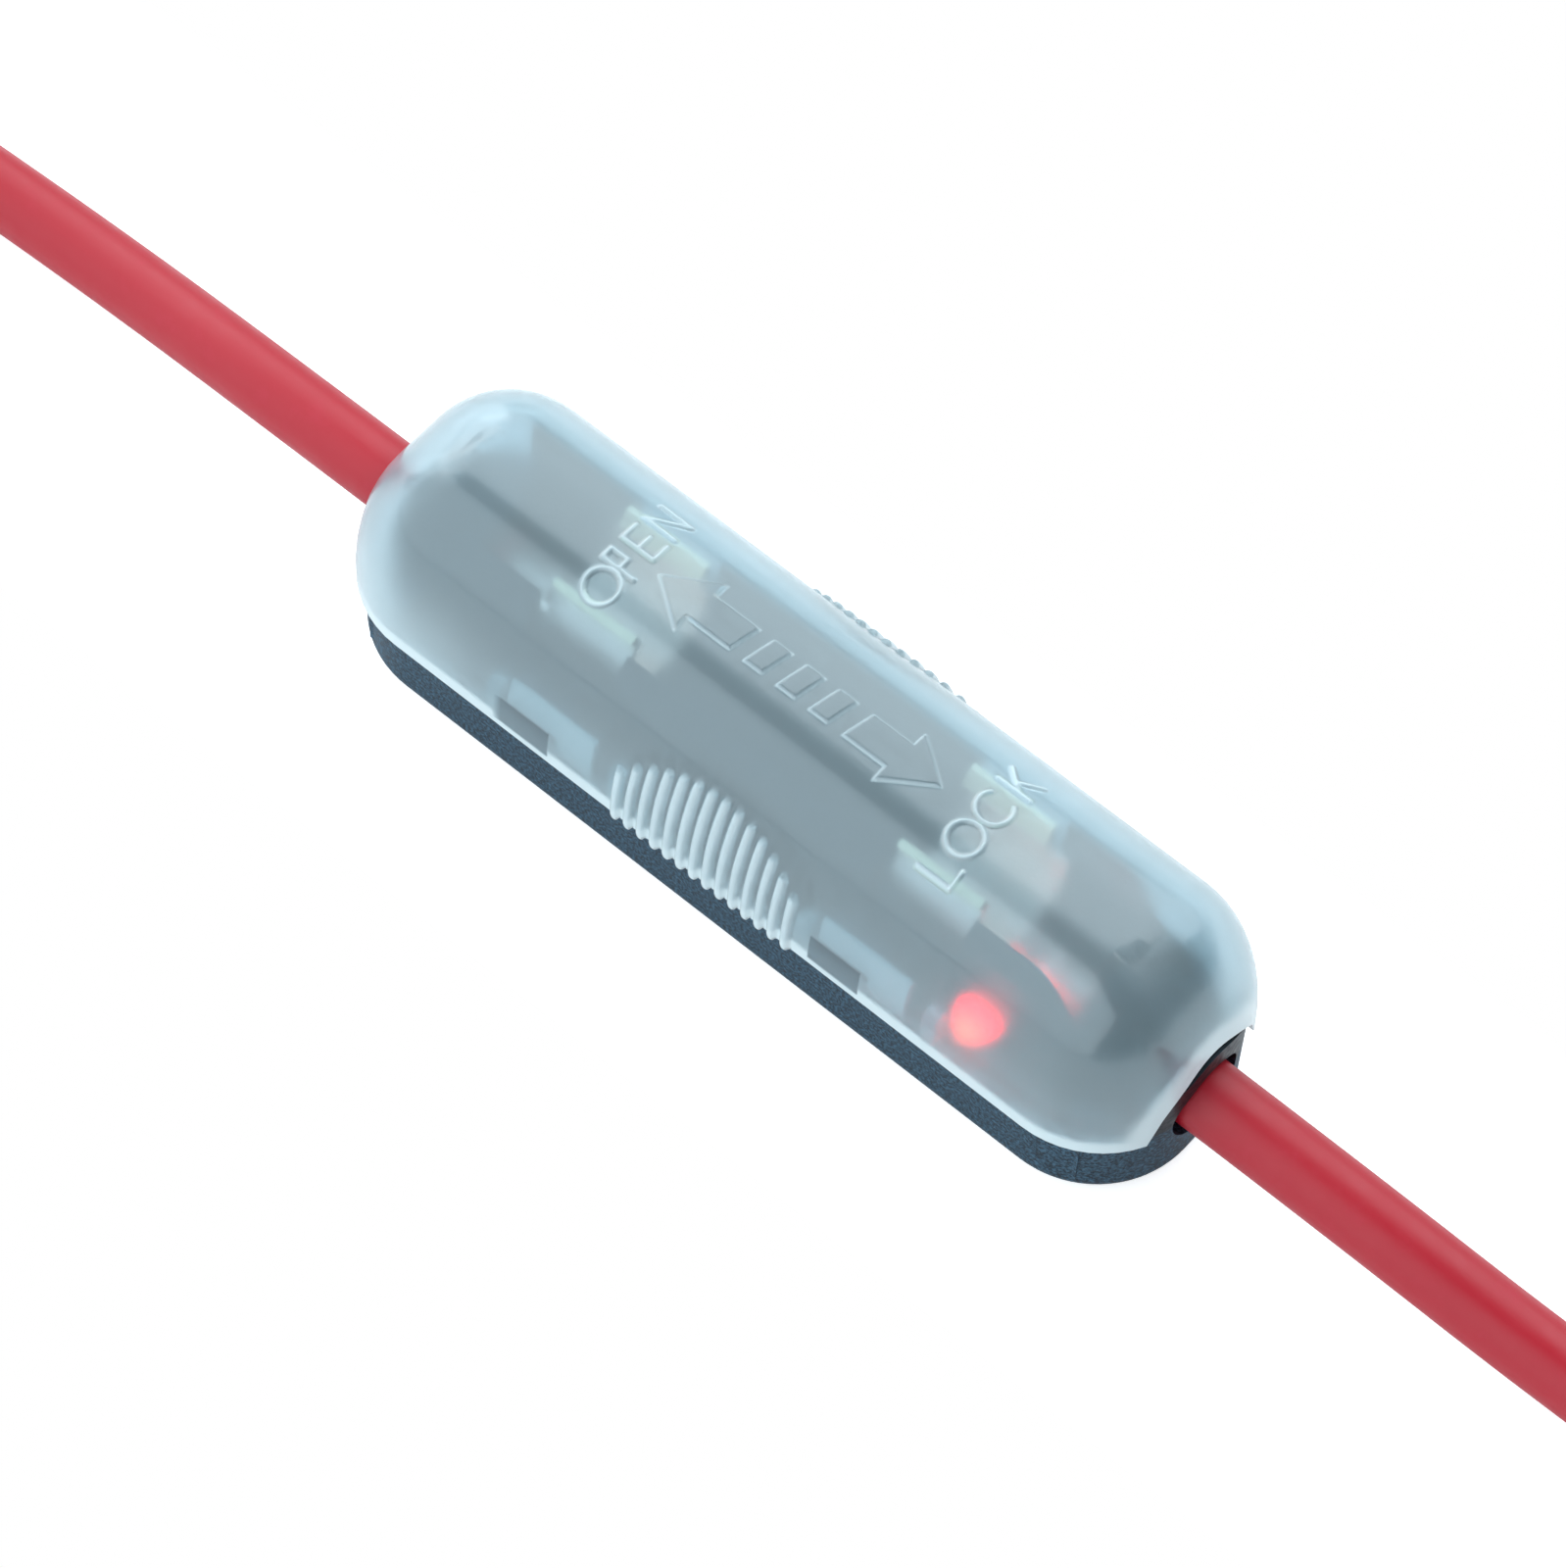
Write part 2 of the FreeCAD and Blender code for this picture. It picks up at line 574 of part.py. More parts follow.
def lock_ledges():
    """Ledges that the lugs hook over, and the ends of the pockets that the lugs slide in."""
    rack = []
    face = LUG_POST_OUTER + " + lock_gap"
    far = SKIRT_INNER + " + cover_wall"
    pocket_top = LUG_LOW + " + lug_height + 4 * lock_gap"
    for name, place in LUG_PLACES.items():
        low = place + " - lug_length / 2 - lock_gap"
        high = place + " + lug_length / 2 + lock_gap + cover_travel"
        closed_end = place + " + lug_length / 2 - lock_gap / 2"
        near = [
            box("ledge_" + name, low, closed_end, face, far, RIM, RIM + " + ledge_height"),
            box("ledge_stop_" + name, low + " - stop_width", low, face, far, RIM, pocket_top),
            box("ledge_end_" + name, high, high + " + stop_width", face, far, RIM, pocket_top),
        ]
        rack_part = joined("ledges_" + name, near)
        rack += [rack_part, mirror_of("ledges_" + name + "_near_side", rack_part, Y_AXIS)]
    form = dome("ledge_limit", "cover_wall / 2", RIM)
    return inside("lock_ledges", [joined("ledges", rack), form])


GRIP_RIBS = 14
outer_form = dome("cover_outside", "0", RIM)
inner_form = dome("cover_inside", "cover_wall", "0")
skin = joined("cover_skin", [outer_form, grip_ribs()])
notch_run = "cover_corner + 1"
notch_start = "cover_length / 2 - cover_corner"
notch = cylinder("notch_lock", "X", notch_start, "0", AXIS, "2 * notch_radius", notch_run)
notch_open = mirror_of("notch_open", notch, X_AXIS)
hollow_cover = cut_from("cover_hollow", skin, [inner_form, notch, notch_open])
cover = joined("cover", [hollow_cover, lock_ledges()])


# fuse_carrier: fuse channel, bosses, and an arched collar over each lead

def make_carrier_end():
    """Cross wall and collar at the LOCK end. Below the leads' axis the cross wall is open."""
    end = CARRIER_END
    start = end + " - bulkhead"
    top = "base_height + collar_radius"
    rib_high = RIB_PLACE + " + grip_rib / 2"
    length = size("base_length")
    width = size("base_width")
    column = Part.makeBox(length, width, size(top), V(-length / 2, -width / 2, size(AXIS)))
    uprights = [edge for edge in column.Edges if upright(edge)]
    plan = feature("collar_plan", column.makeFillet(size("base_corner"), uprights))
    round_part = cylinder("collar_round", "X", start, "0", AXIS, "2 * collar_radius", "base_length / 2")
    collar = inside("collar", [round_part, plan])
    wall = box("bulkhead", start, end, "-" + BAY_INNER, BAY_INNER, "base_floor", top)
    half_slot = JACKET_BORE + " / 2"
    hole_run = "grip_rib_inset - grip_rib / 2 + 1"
    room_run = "collar_length - grip_rib_inset - grip_rib / 2"
    bores = [
        cylinder("collar_pinch", "X", start + " - 1", "0", AXIS, JACKET_BORE, "base_length / 2"),
        cylinder("collar_hole", "X", rib_high, "0", AXIS, "cable_hole", hole_run),
        cylinder("collar_room", "X", end, "0", AXIS, "cable_hole", room_run),
        box("bulkhead_slot", start + " - 1", end + " + 1", "-" + half_slot, half_slot, "0", AXIS),
    ]
    return cut_from("carrier_end", joined("carrier_end_solid", [collar, wall]), bores)


def make_carrier():
    half = CARRIER_END
    floor_half = "( clip_spacing / 2 + clip_width / 2 + floor_margin )"
    floor_under = SEAT + " - bay_floor"
    low = "base_floor"
    walls = [
        box("wall_far", "-" + half, half, BAY_INNER, BAY_OUTER, low, CROWN),
        box("wall_near", "-" + half, half, "-" + BAY_OUTER, "-" + BAY_INNER, low, CROWN),
    ]
    inset = "cover_wall + slide_clearance"
    limits = [dome("room_locked", inset, "0"), dome("room_open", inset, "0", "-cover_travel")]
    trimmed = inside("walls_in_cover", [joined("walls", walls)] + limits)
    floor = box("fuse_floor", "-" + floor_half, floor_half, "-" + BAY_INNER, BAY_INNER, floor_under, SEAT)

    boss_low = "base_floor + pad_height"
    boss_run = floor_under + " - " + boss_low.replace(" + ", " - ")
    hole_run = SCREW_SEAT + " + screw_length + screw_tip_room - " + boss_low.replace(" + ", " - ")
    bosses = []
    holes = []
    for side, name in (("-screw_place", "open"), ("screw_place", "lock")):
        bosses.append(cylinder("boss_" + name, "Z", side, "0", boss_low, "boss_diameter", boss_run))
        bore = "screw_core + 2 * fit_gap"
        holes.append(cylinder("boss_hole_" + name, "Z", side, "0", boss_low, bore, hole_run))

    window_low = CLIP_START + " - window_room"
    window_high = CLIP_START + " + clip_width + window_room"
    sill = "fuse_height - window_depth"
    window = box("clip_window", window_low, window_high, "-" + BAY_OUTER, BAY_OUTER, sill, CROWN)
    lamp_hole = cylinder("lamp_hole", "Y", LAMP_PLACE, "-" + BAY_OUTER + " - 1", LAMP_HEIGHT,
                         "lamp_diameter + 2 * fit_gap", "carrier_wall + 2")
    end = make_carrier_end()
    pieces = [trimmed, floor, end, mirror_of("carrier_end_open", end, X_AXIS)] + bosses
    tools = [window, mirror_of("clip_window_open", window, X_AXIS), lamp_hole] + holes
    return cut_from("fuse_carrier", joined("carrier_solid", pieces), tools)


fuse_carrier = make_carrier()


# contact clips: round seat, flared lips, flat foot, and a neck to the crimp barrel

def prism(label, outline, half_width):
    """Plate with an outline in the XZ plane, as thick as twice half_width."""
    corners = [V(size(x), -size(half_width), size(z)) for x, z in outline]
    face = Part.Face(Part.makePolygon(corners + corners[:1]))
    return feature(label, face.extrude(V(0, 2 * size(half_width), 0)))


def make_lip():
    """Flared lip on the far side: a plate that leans outwards from the end of the seat."""
    seat = size("fuse_diameter / 2 + clip_gauge / 2")
    grip = math.radians(size("clip_grip"))
    foot = V(size(CLIP_START), seat * math.cos(grip), size("fuse_height") + seat * math.sin(grip))
    lean = math.degrees(math.atan2(size("lip_flare"), size("lip_rise")))
    length = math.hypot(size("lip_flare"), size("lip_rise"))
    gauge = size("clip_gauge")
    width = size("clip_width")
    plate = Part.makeBox(width, gauge, length, V(0, -gauge / 2, 0))
    bend = Part.makeCylinder(gauge / 2, width, V(0, 0, 0), X_AXIS)
    lip = plate.fuse(bend)
    lip.rotate(V(0, 0, 0), X_AXIS, -lean)
    lip.translate(foot)
    return feature("clip_lip", lip)


def make_clip():
    outer = "fuse_diameter + 2 * clip_gauge"
    ring = cylinder("clip_ring", "X", CLIP_START, "0", "fuse_height", outer, "clip_width")
    wing_run = "clip_width + wing_length"
    wing_round = cylinder("clip_wing_round", "X", CLIP_START, "0", "fuse_height", outer, wing_run)
    wide = "fuse_diameter"
    lower = box("clip_wing_half", CLIP_START, WING_END, "-" + wide, wide, SEAT, "fuse_height + clip_gauge / 2")
    wing = inside("clip_wing", [wing_round, lower])
    half_foot = "foot_width / 2"
    foot = box("clip_foot", CLIP_START, WING_END, "-" + half_foot, half_foot, SEAT, SEAT + " + clip_gauge")
    bore = cylinder("clip_seat", "X", CLIP_START + " - 1", "0", "fuse_height", wide, wing_run + " + 2")
    rise = size("( fuse_diameter / 2 + clip_gauge / 2 ) * sin(clip_grip)")
    mouth = box("clip_mouth", CLIP_START + " - 1", WING_END + " + 1", "-" + wide, wide,
                "fuse_height + %.6f" % rise, "fuse_height + fuse_diameter")
    ring_open = cut_from("clip_ring_open", joined("clip_round", [ring, wing, foot]), [bore, mouth])

    barrel_top = "base_height + %s / 2" % BARREL_OUTER
    bore_top = "base_height + %s / 2" % BARREL_BORE
    neck = prism("clip_neck", [
        (WING_END + " - wing_length", SEAT),
        (WING_END + " - clip_gauge / 3", SEAT),
        (BARREL_START, bore_top),
        (BARREL_START + " + 2 * clip_gauge", bore_top),
        (BARREL_START + " + 2 * clip_gauge", barrel_top),
        (BARREL_START + " + clip_gauge / 2", barrel_top),
        (WING_END, SEAT + " + clip_gauge"),
        (WING_END + " - wing_length", SEAT + " + clip_gauge"),
    ], "neck_width / 2")
    barrel = cylinder("clip_barrel", "X", BARREL_START, "0", AXIS, BARREL_OUTER, "barrel_length")
    barrel_bore = cylinder("barrel_bore", "X", BARREL_START + " - 1", "0", AXIS, BARREL_BORE, "barrel_length + 2")
    seam = box("barrel_seam", BARREL_START + " - 1", BARREL_START + " + barrel_length + 1",
               "-clip_gauge / 5", "clip_gauge / 5", "0", AXIS)
    tail = cut_from("clip_tail", joined("clip_tail_solid", [neck, barrel]), [barrel_bore, seam])
    lip = make_lip()
    return joined("contact_clip_right", [ring_open, lip, mirror_of("clip_lip_near", lip, Y_AXIS), tail])


clip_right = make_clip()
clip_left = mirror_of("contact_clip_left", clip_right, X_AXIS)


# leads: each core starts in its barrel, the jacket runs from there to a bare end

def make_lead(side, name, places):
    """Lead on one side. The places are the corners of its route outside the body."""
    barrel = size(BARREL_START)
    core_start = side * (barrel + size("core_start"))
    jacket_start = side * (barrel + size("barrel_length + jacket_start"))
    height = size(AXIS)
    rest = size("lead_diameter / 2")
    corners = [V(side * places[0][0], places[0][1], height)]
    corners += [V(side * x, y, rest) for x, y in places[1:]]
    jacket_points = [V(jacket_start, 0, height)] + corners
    reaches = cord_reaches(jacket_points)
    last_run = corners[-1].sub(corners[-2])
    stripped = corners[-1].sub(last_run.normalize() * size("strip_length"))
    jacket_route = jacket_points[:-1] + [stripped]
    core_route = [V(core_start, 0, height)] + corners
    core = size("core_diameter") / 2
    bore = core + size("fit_gap")
    jacket = sweep("lead_%s_insulation" % name, jacket_route, reaches, size("lead_diameter") / 2, bore)
    conductor = sweep("lead_%s_conductor" % name, core_route, reaches, core)
    return jacket, conductor


RIGHT_ROUTE = [(38, 0), (58.5, 1.3), (82, 2.2), (106, -0.6), (129.5, -1.6)]
LEFT_ROUTE = [(38, 0), (58.5, 1.5), (82, 0.4), (106, 1.8), (129.5, 0.4)]
jacket_right, core_right = make_lead(1, "right", RIGHT_ROUTE)
jacket_left, core_left = make_lead(-1, "left", LEFT_ROUTE)


# blown-fuse lamp and its series resistor

def make_lamp():
    centre = "-" + BAY_INNER + " - lamp_reach + lamp_diameter / 2"
    stem = "lamp_reach - lamp_diameter / 2 + lamp_flange_height / 2"
    x = LAMP_PLACE
    z = LAMP_HEIGHT
    return joined("led_lamp", [
        cylinder("lamp_rim", "Y", x, "-" + BAY_INNER, z, "lamp_flange", "lamp_flange_height"),
        cylinder("lamp_stem", "Y", x, centre, z, "lamp_diameter", stem),
        ball("lamp_tip", x, centre, z, "lamp_diameter / 2"),
    ])


led_lamp = make_lamp()
LEG_X = [size(LAMP_PLACE) + side * size("wire_pitch") / 2 for side in (-1, 1)]
LEG_Y = -size("barrel_diameter / 2 + leg_room + wire_diameter / 2")
LAMP_BACK = -size(BAY_INNER) + size("lamp_flange_height")
LAMP_Z = size(LAMP_HEIGHT)
WIRE_Y = -size(RESISTOR_SIDE)
CATHODE_Y = WIRE_Y + size("leg_gap")
WIRE_Z = size(RESISTOR_HEIGHT)
RESISTOR_END = size("resistor_length") / 2
WIRE = size("wire_diameter")


def clip_underside(y):
    """Height of the clip's round outside at a distance y from the middle plane."""
    return size("fuse_height") - math.sqrt(size("fuse_diameter / 2 + clip_gauge") ** 2 - y ** 2)


leg_anode = wire("led_lead_anode", [
    V(LEG_X[0], LAMP_BACK, LAMP_Z),
    V(LEG_X[0], LEG_Y, LAMP_Z),
    V(LEG_X[0], LEG_Y, clip_underside(LEG_Y + WIRE / 2)),
])
leg_cathode = wire("led_lead_cathode", [
    V(LEG_X[1], LAMP_BACK, LAMP_Z),
    V(LEG_X[1], CATHODE_Y, LAMP_Z),
    V(LEG_X[1], CATHODE_Y, WIRE_Z - WIRE),
])
SPLICE_X = LEG_X[1]
wire_right = sweep(
    "resistor_wire_right",
    [V(RESISTOR_END, WIRE_Y, WIRE_Z), V(SPLICE_X + WIRE, WIRE_Y, WIRE_Z)],
    [],
    WIRE / 2,
)
wire_left = wire("resistor_wire_left", [
    V(-RESISTOR_END, WIRE_Y, WIRE_Z),
    V(-LEG_X[0], WIRE_Y, WIRE_Z),
    V(-LEG_X[0], WIRE_Y, clip_underside(WIRE_Y + WIRE / 2)),
])


def make_resistor():
    """Body with a thicker cap at each end."""
    x = "-resistor_length / 2"
    y = "-" + RESISTOR_SIDE
    cap = "resistor_length / 4"
    neck = "resistor_diameter * 0.88"
    return joined("resistor_body", [
        cylinder("resistor_middle", "X", x, y, RESISTOR_HEIGHT, neck, "resistor_length"),
        cylinder("resistor_cap_open", "X", x, y, RESISTOR_HEIGHT, "resistor_diameter", cap),
        cylinder("resistor_cap_lock", "X", "resistor_length / 2 - " + cap, y, RESISTOR_HEIGHT,
                 "resistor_diameter", cap),
    ])


resistor = make_resistor()
sleeve_start = "-resistor_length / 2 - sleeve_length - sleeve_place"
sleeve_bore = "wire_diameter + 2 * fit_gap"
insulating_sleeve = cut_from("insulating_sleeve", cylinder(
    "sleeve_round", "X", sleeve_start, "-" + RESISTOR_SIDE, RESISTOR_HEIGHT,
    sleeve_bore + " + 2 * sleeve_wall", "sleeve_length",
), [cylinder(
    "sleeve_bore", "X", sleeve_start + " - 1", "-" + RESISTOR_SIDE, RESISTOR_HEIGHT,
    sleeve_bore, "sleeve_length + 2",
)])


def solder(label, place, radius, tools):
    """Bead of solder around the wires that it joins. It stays on the outside of a clip."""
    bead = Part.makeSphere(size(radius), place, Y_AXIS)
    for tool in tools:
        bead = bead.cut(tool.Shape)
    drops = sorted(bead.Solids, key=lambda drop: drop.Volume)
    return feature(label, drops[-1])


anode_end = V(LEG_X[0], LEG_Y, clip_underside(LEG_Y) - WIRE / 2)
left_end = V(-LEG_X[0], WIRE_Y, clip_underside(WIRE_Y) - WIRE / 2)
splice = V(SPLICE_X, (CATHODE_Y + WIRE_Y) / 2, WIRE_Z)
doc.recompute()
solder_right = solder("solder_joint_right", anode_end, "solder_radius", [leg_anode, clip_right])
solder_left = solder("solder_joint_left", left_end, "solder_radius", [wire_left, clip_left])
solder_splice = solder("solder_joint_splice", splice, "splice_radius", [leg_cathode, wire_right])


# assembly screws: pan head with a cross recess, driven from below

def make_screw(name, place):
    low = "screw_room"
    slot = "screw_core / 5"
    reach = "screw_head * 0.36"
    depth = low + " + screw_head_height * 0.6"
    head = cylinder("screw_head_" + name, "Z", place, "0", low, "screw_head", "screw_head_height")
    shank = cylinder("screw_shank_" + name, "Z", place, "0", SCREW_SEAT, "screw_core", "screw_length")
    solid = joined("screw_solid_" + name, [head, shank])
    along = box("cross_along_" + name, place + " - " + reach, place + " + " + reach,
                "-" + slot, slot, "0", depth)
    across = box("cross_across_" + name, place + " - " + slot, place + " + " + slot,
                 "-" + reach, reach, "0", depth)
    return cut_from("assembly_screw_" + name, solid, [along, across])


screw_left = make_screw("left", "-screw_place")
screw_right = make_screw("right", "screw_place")

doc.recompute()

PIECES = {
    "base_shell": base_shell,
    "fuse_carrier": fuse_carrier,
    "cover": cover,
    "contact_clip_left": clip_left,
    "contact_clip_right": clip_right,
    "lead_left_insulation": jacket_left,
    "lead_right_insulation": jacket_right,
    "lead_left_conductor": core_left,
    "lead_right_conductor": core_right,
    "led_lamp": led_lamp,
    "led_lead_anode": leg_anode,
    "led_lead_cathode": leg_cathode,
    "resistor_body": resistor,
    "resistor_wire_left": wire_left,
    "resistor_wire_right": wire_right,
    "insulating_sleeve": insulating_sleeve,
    "solder_joint_left": solder_left,
    "solder_joint_right": solder_right,
    "solder_joint_splice": solder_splice,
    "assembly_screw_left": screw_left,
    "assembly_screw_right": screw_right,
}

for thing in doc.Objects:
    if "Invalid" in thing.State or "Error" in thing.State:
        raise RuntimeError("%s did not compute: %s" % (thing.Name, thing.State))

os.makedirs("parts", exist_ok=True)
for node, thing in PIECES.items():
    shape = thing.Shape
    if shape.isNull() or not shape.isValid():
        raise RuntimeError(node + " is not a valid shape")
    if len(shape.Solids) != 1:
        raise RuntimeError("%s is %d solids" % (node, len(shape.Solids)))
    bounds = shape.BoundBox
    print("%s: volume %.2f, z %.3f to %.3f" % (node, shape.Volume, bounds.ZMin, bounds.ZMax))
    shape.exportStep("parts/%s.step" % node)
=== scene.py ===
# %% [markdown]
# # An in-line fuse holder with a frosted sliding cover
# The solids are already made: a black tray, a black inner moulding, two spring clips, two leads, a
# blown-fuse lamp and the cover. This lesson adds what the eye wants: light, finishes, the raised
# signs on the cover and the lay of the copper strands. We load the solids first. Nothing that is
# added here may make the object bigger. Sizes are written in millimetres, and MM turns them into
# Blender's metres.

# %% Load the solids
import math
import bmesh
import bpy
import numpy as np
from mathutils import Matrix, Vector


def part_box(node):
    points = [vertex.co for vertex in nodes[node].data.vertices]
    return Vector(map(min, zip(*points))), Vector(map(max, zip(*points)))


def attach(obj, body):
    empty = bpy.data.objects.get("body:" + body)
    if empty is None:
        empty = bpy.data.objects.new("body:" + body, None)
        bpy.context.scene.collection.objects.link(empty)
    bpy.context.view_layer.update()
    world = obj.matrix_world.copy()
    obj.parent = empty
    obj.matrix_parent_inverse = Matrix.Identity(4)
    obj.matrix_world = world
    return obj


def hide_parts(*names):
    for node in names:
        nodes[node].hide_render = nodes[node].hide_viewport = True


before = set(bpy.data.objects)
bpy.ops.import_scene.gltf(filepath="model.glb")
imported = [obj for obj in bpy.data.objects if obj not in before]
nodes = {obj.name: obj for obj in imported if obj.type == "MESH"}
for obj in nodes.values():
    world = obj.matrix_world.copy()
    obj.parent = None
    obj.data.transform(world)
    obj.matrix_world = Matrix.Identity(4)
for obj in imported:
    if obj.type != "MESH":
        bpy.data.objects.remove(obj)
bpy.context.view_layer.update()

MM = 0.001

# %% [markdown]
# ## Camera
# A product picture like this is taken from above with a long lens, so that the far end of the body
# is hardly smaller than the near end. A camera can be turned by three angles, but it is easier to
# get right with three perpendicular directions: back, towards the camera, and the right and the up
# of the picture. The lens follows from how many pixels of the picture an object fills that is as
# wide as it is far away, and the shift moves the holder off the picture's middle.

# %% Camera
PICTURE = 1600
SENSOR = 36
AZIMUTH = math.radians(37.18)
ELEVATION = math.radians(61.0)
ROLL = math.radians(3.735)
DISTANCE = 0.3696
FOCAL_PIXELS = 6349
SHIFT_PIXELS = (12.19, 51.57)

back = Vector((math.sin(AZIMUTH) * math.cos(ELEVATION), -math.cos(AZIMUTH) * math.cos(ELEVATION),
               math.sin(ELEVATION)))
level = Vector((math.cos(AZIMUTH), math.sin(AZIMUTH), 0))
upward = back.cross(level)
right = math.cos(ROLL) * level + math.sin(ROLL) * upward
up = math.cos(ROLL) * upward - math.sin(ROLL) * level

camera_data = bpy.data.cameras.new("camera")
camera_data.sensor_width = SENSOR
camera_data.lens = FOCAL_PIXELS * SENSOR / PICTURE
camera_data.shift_x = -SHIFT_PIXELS[0] / PICTURE
camera_data.shift_y = SHIFT_PIXELS[1] / PICTURE
camera = bpy.data.objects.new("camera", camera_data)
turned = Matrix((right, up, back)).transposed().to_4x4()
camera.matrix_world = Matrix.Translation(back * DISTANCE) @ turned
bpy.context.scene.collection.objects.link(camera)
bpy.context.scene.camera = camera
print("lens:", round(camera_data.lens, 1), "mm")

# %% [markdown]
# ## One function for nodes, one for colours
# Every finish is a small tree of nodes. One function adds a node, sets what is given and links what
# is a socket. Colours are written as on a paint card, in sRGB, and turned to linear light here.
# Blender's noise stays mostly between 0.3 and 0.7, so finishes stretch that span to what they need.

# %% Node and colour helpers
NOISE_LOW, NOISE_HIGH = 0.3, 0.7


def add(tree, kind, inputs=None, **settings):
    """Adds a node, with its settings, and its inputs by name or number."""
    node = tree.nodes.new(kind)
    for name, value in settings.items():
        setattr(node, name, value)
    for key, value in (inputs or {}).items():
        if isinstance(value, bpy.types.NodeSocket):
            tree.links.new(value, node.inputs[key])
        else:
            node.inputs[key].default_value = value
    return node


def paint(code):
    """Linear colour of an sRGB hex code, by the sRGB standard's own curve."""
    parts = [int(code[i:i + 2], 16) / 255 for i in (1, 3, 5)]
    return [p / 12.92 if p <= 0.04045 else ((p + 0.055) / 1.055) ** 2.4 for p in parts] + [1.0]


def new_finish(name):
    """An empty material, its tree and its output."""
    material = bpy.data.materials.new(name)
    material.use_nodes = True
    material.node_tree.nodes.clear()
    return material, material.node_tree, add(material.node_tree, "ShaderNodeOutputMaterial")


print("a mid grey card in linear light:", round(paint("#808080")[0], 3))

# %% [markdown]
# ## Table and light
# The holder lies on white card. Stronger lamps would make the card white and wash out the colours
# on it, so the card glows instead: enough for the camera, little in reflections and through the
# cover. Beside the holder it still takes the shadow. Further out hardly any shadow falls, and there
# it is plain white, which renders faster. Two long soft boxes, one behind and one in front, light
# the cover along its length, and a small weak one stands at its left end. The room is brighter up
# and towards the back, as with a curved white wall, so the cover darkens softly towards us.

# %% Table
CARD_GLOW, GLOW_REFLECTED = 0.66, 0.12
SHADOW_FADES = (11, 19)
card, tree, output = new_finish("white_card")
path = add(tree, "ShaderNodeLightPath").outputs
seen = add(tree, "ShaderNodeMath", {0: path["Is Glossy Ray"], 1: path["Is Transmission Ray"]},
           operation="MAXIMUM")
seen = add(tree, "ShaderNodeMath", {0: seen.outputs[0], 1: GLOW_REFLECTED}, operation="MULTIPLY")
glow = add(tree, "ShaderNodeMath", {0: path["Is Camera Ray"], 1: CARD_GLOW, 2: seen.outputs[0]},
           operation="MULTIPLY_ADD")
glow = add(tree, "ShaderNodeEmission", {"Color": paint("#FFFFFF"), "Strength": glow.outputs[0]})
matt = add(tree, "ShaderNodeBsdfDiffuse", {"Color": paint("#EDEEEF")})
near = add(tree, "ShaderNodeAddShader", {0: matt.outputs[0], 1: glow.outputs[0]})
aside = add(tree, "ShaderNodeSeparateXYZ", {0: add(tree, "ShaderNodeTexCoord").outputs["Object"]})
aside = add(tree, "ShaderNodeMath", {0: aside.outputs[1]}, operation="ABSOLUTE")
aside = add(tree, "ShaderNodeMapRange", {0: aside.outputs[0], 1: SHADOW_FADES[0] * MM,
                                         2: SHADOW_FADES[1] * MM, 3: 0.0, 4: 1.0},
            interpolation_type="SMOOTHSTEP")
aside = add(tree, "ShaderNodeMath", {0: aside.outputs[0], 1: path["Is Camera Ray"]},
            operation="MULTIPLY")
plain = add(tree, "ShaderNodeEmission", {"Color": paint("#FFFFFF"), "Strength": 1.0})
whole = add(tree, "ShaderNodeMixShader", {0: aside.outputs[0], 1: near.outputs[0],
                                          2: plain.outputs[0]})
tree.links.new(whole.outputs[0], output.inputs["Surface"])

bpy.ops.mesh.primitive_grid_add(x_subdivisions=4, y_subdivisions=4, size=6)
table = bpy.context.object
table.name = "table"
table.data.materials.append(card)
print("table:", [round(side, 2) for side in table.dimensions[:2]], "m")

# %% Room
# The dot product is 1 for a ray that goes up and back, and the room's light follows it.
UP_AND_BACK = (0.0, 0.80, 0.60)
DIM_UNTIL, BRIGHT_FROM = 0.45, 0.98
DIM, BRIGHT = 0.28, 0.95
world = bpy.data.worlds.new("studio")
bpy.context.scene.world = world
world.use_nodes = True
tree = world.node_tree
tree.nodes.clear()
path = add(tree, "ShaderNodeLightPath").outputs
ray = add(tree, "ShaderNodeTexCoord").outputs["Generated"]
aim = add(tree, "ShaderNodeVectorMath", {0: ray, 1: UP_AND_BACK}, operation="DOT_PRODUCT")
lit = add(tree, "ShaderNodeMapRange", {0: aim.outputs["Value"], 1: DIM_UNTIL, 2: BRIGHT_FROM,
                                       3: DIM, 4: BRIGHT}, interpolation_type="SMOOTHSTEP")
room = add(tree, "ShaderNodeBackground", {"Color": paint("#DDEEF3"), "Strength": lit.outputs[0]})
white = add(tree, "ShaderNodeBackground", {"Color": paint("#FFFFFF"), "Strength": 1.0})
mixed = add(tree, "ShaderNodeMixShader", {0: path["Is Camera Ray"], 1: room.outputs[0],
                                          2: white.outputs[0]})
add(tree, "ShaderNodeOutputWorld", {"Surface": mixed.outputs[0]})
print("room:", world.name, "from", DIM, "to", BRIGHT)

# %% Soft boxes, with place and size in metres and power in watts


def soft_box(name, centre, width, height, watts, tint):
    """A rectangular lamp that faces the object, level across."""
    data = bpy.data.lights.new(name, "AREA")
    data.shape = "RECTANGLE"
    data.size, data.size_y = width, height
    data.energy = watts
    data.color = paint(tint)[:3]
    lamp = bpy.data.objects.new(name, data)
    lamp.location = centre
    lamp.rotation_euler = Vector(centre).to_track_quat("Z", "Y").to_euler()
    bpy.context.scene.collection.objects.link(lamp)


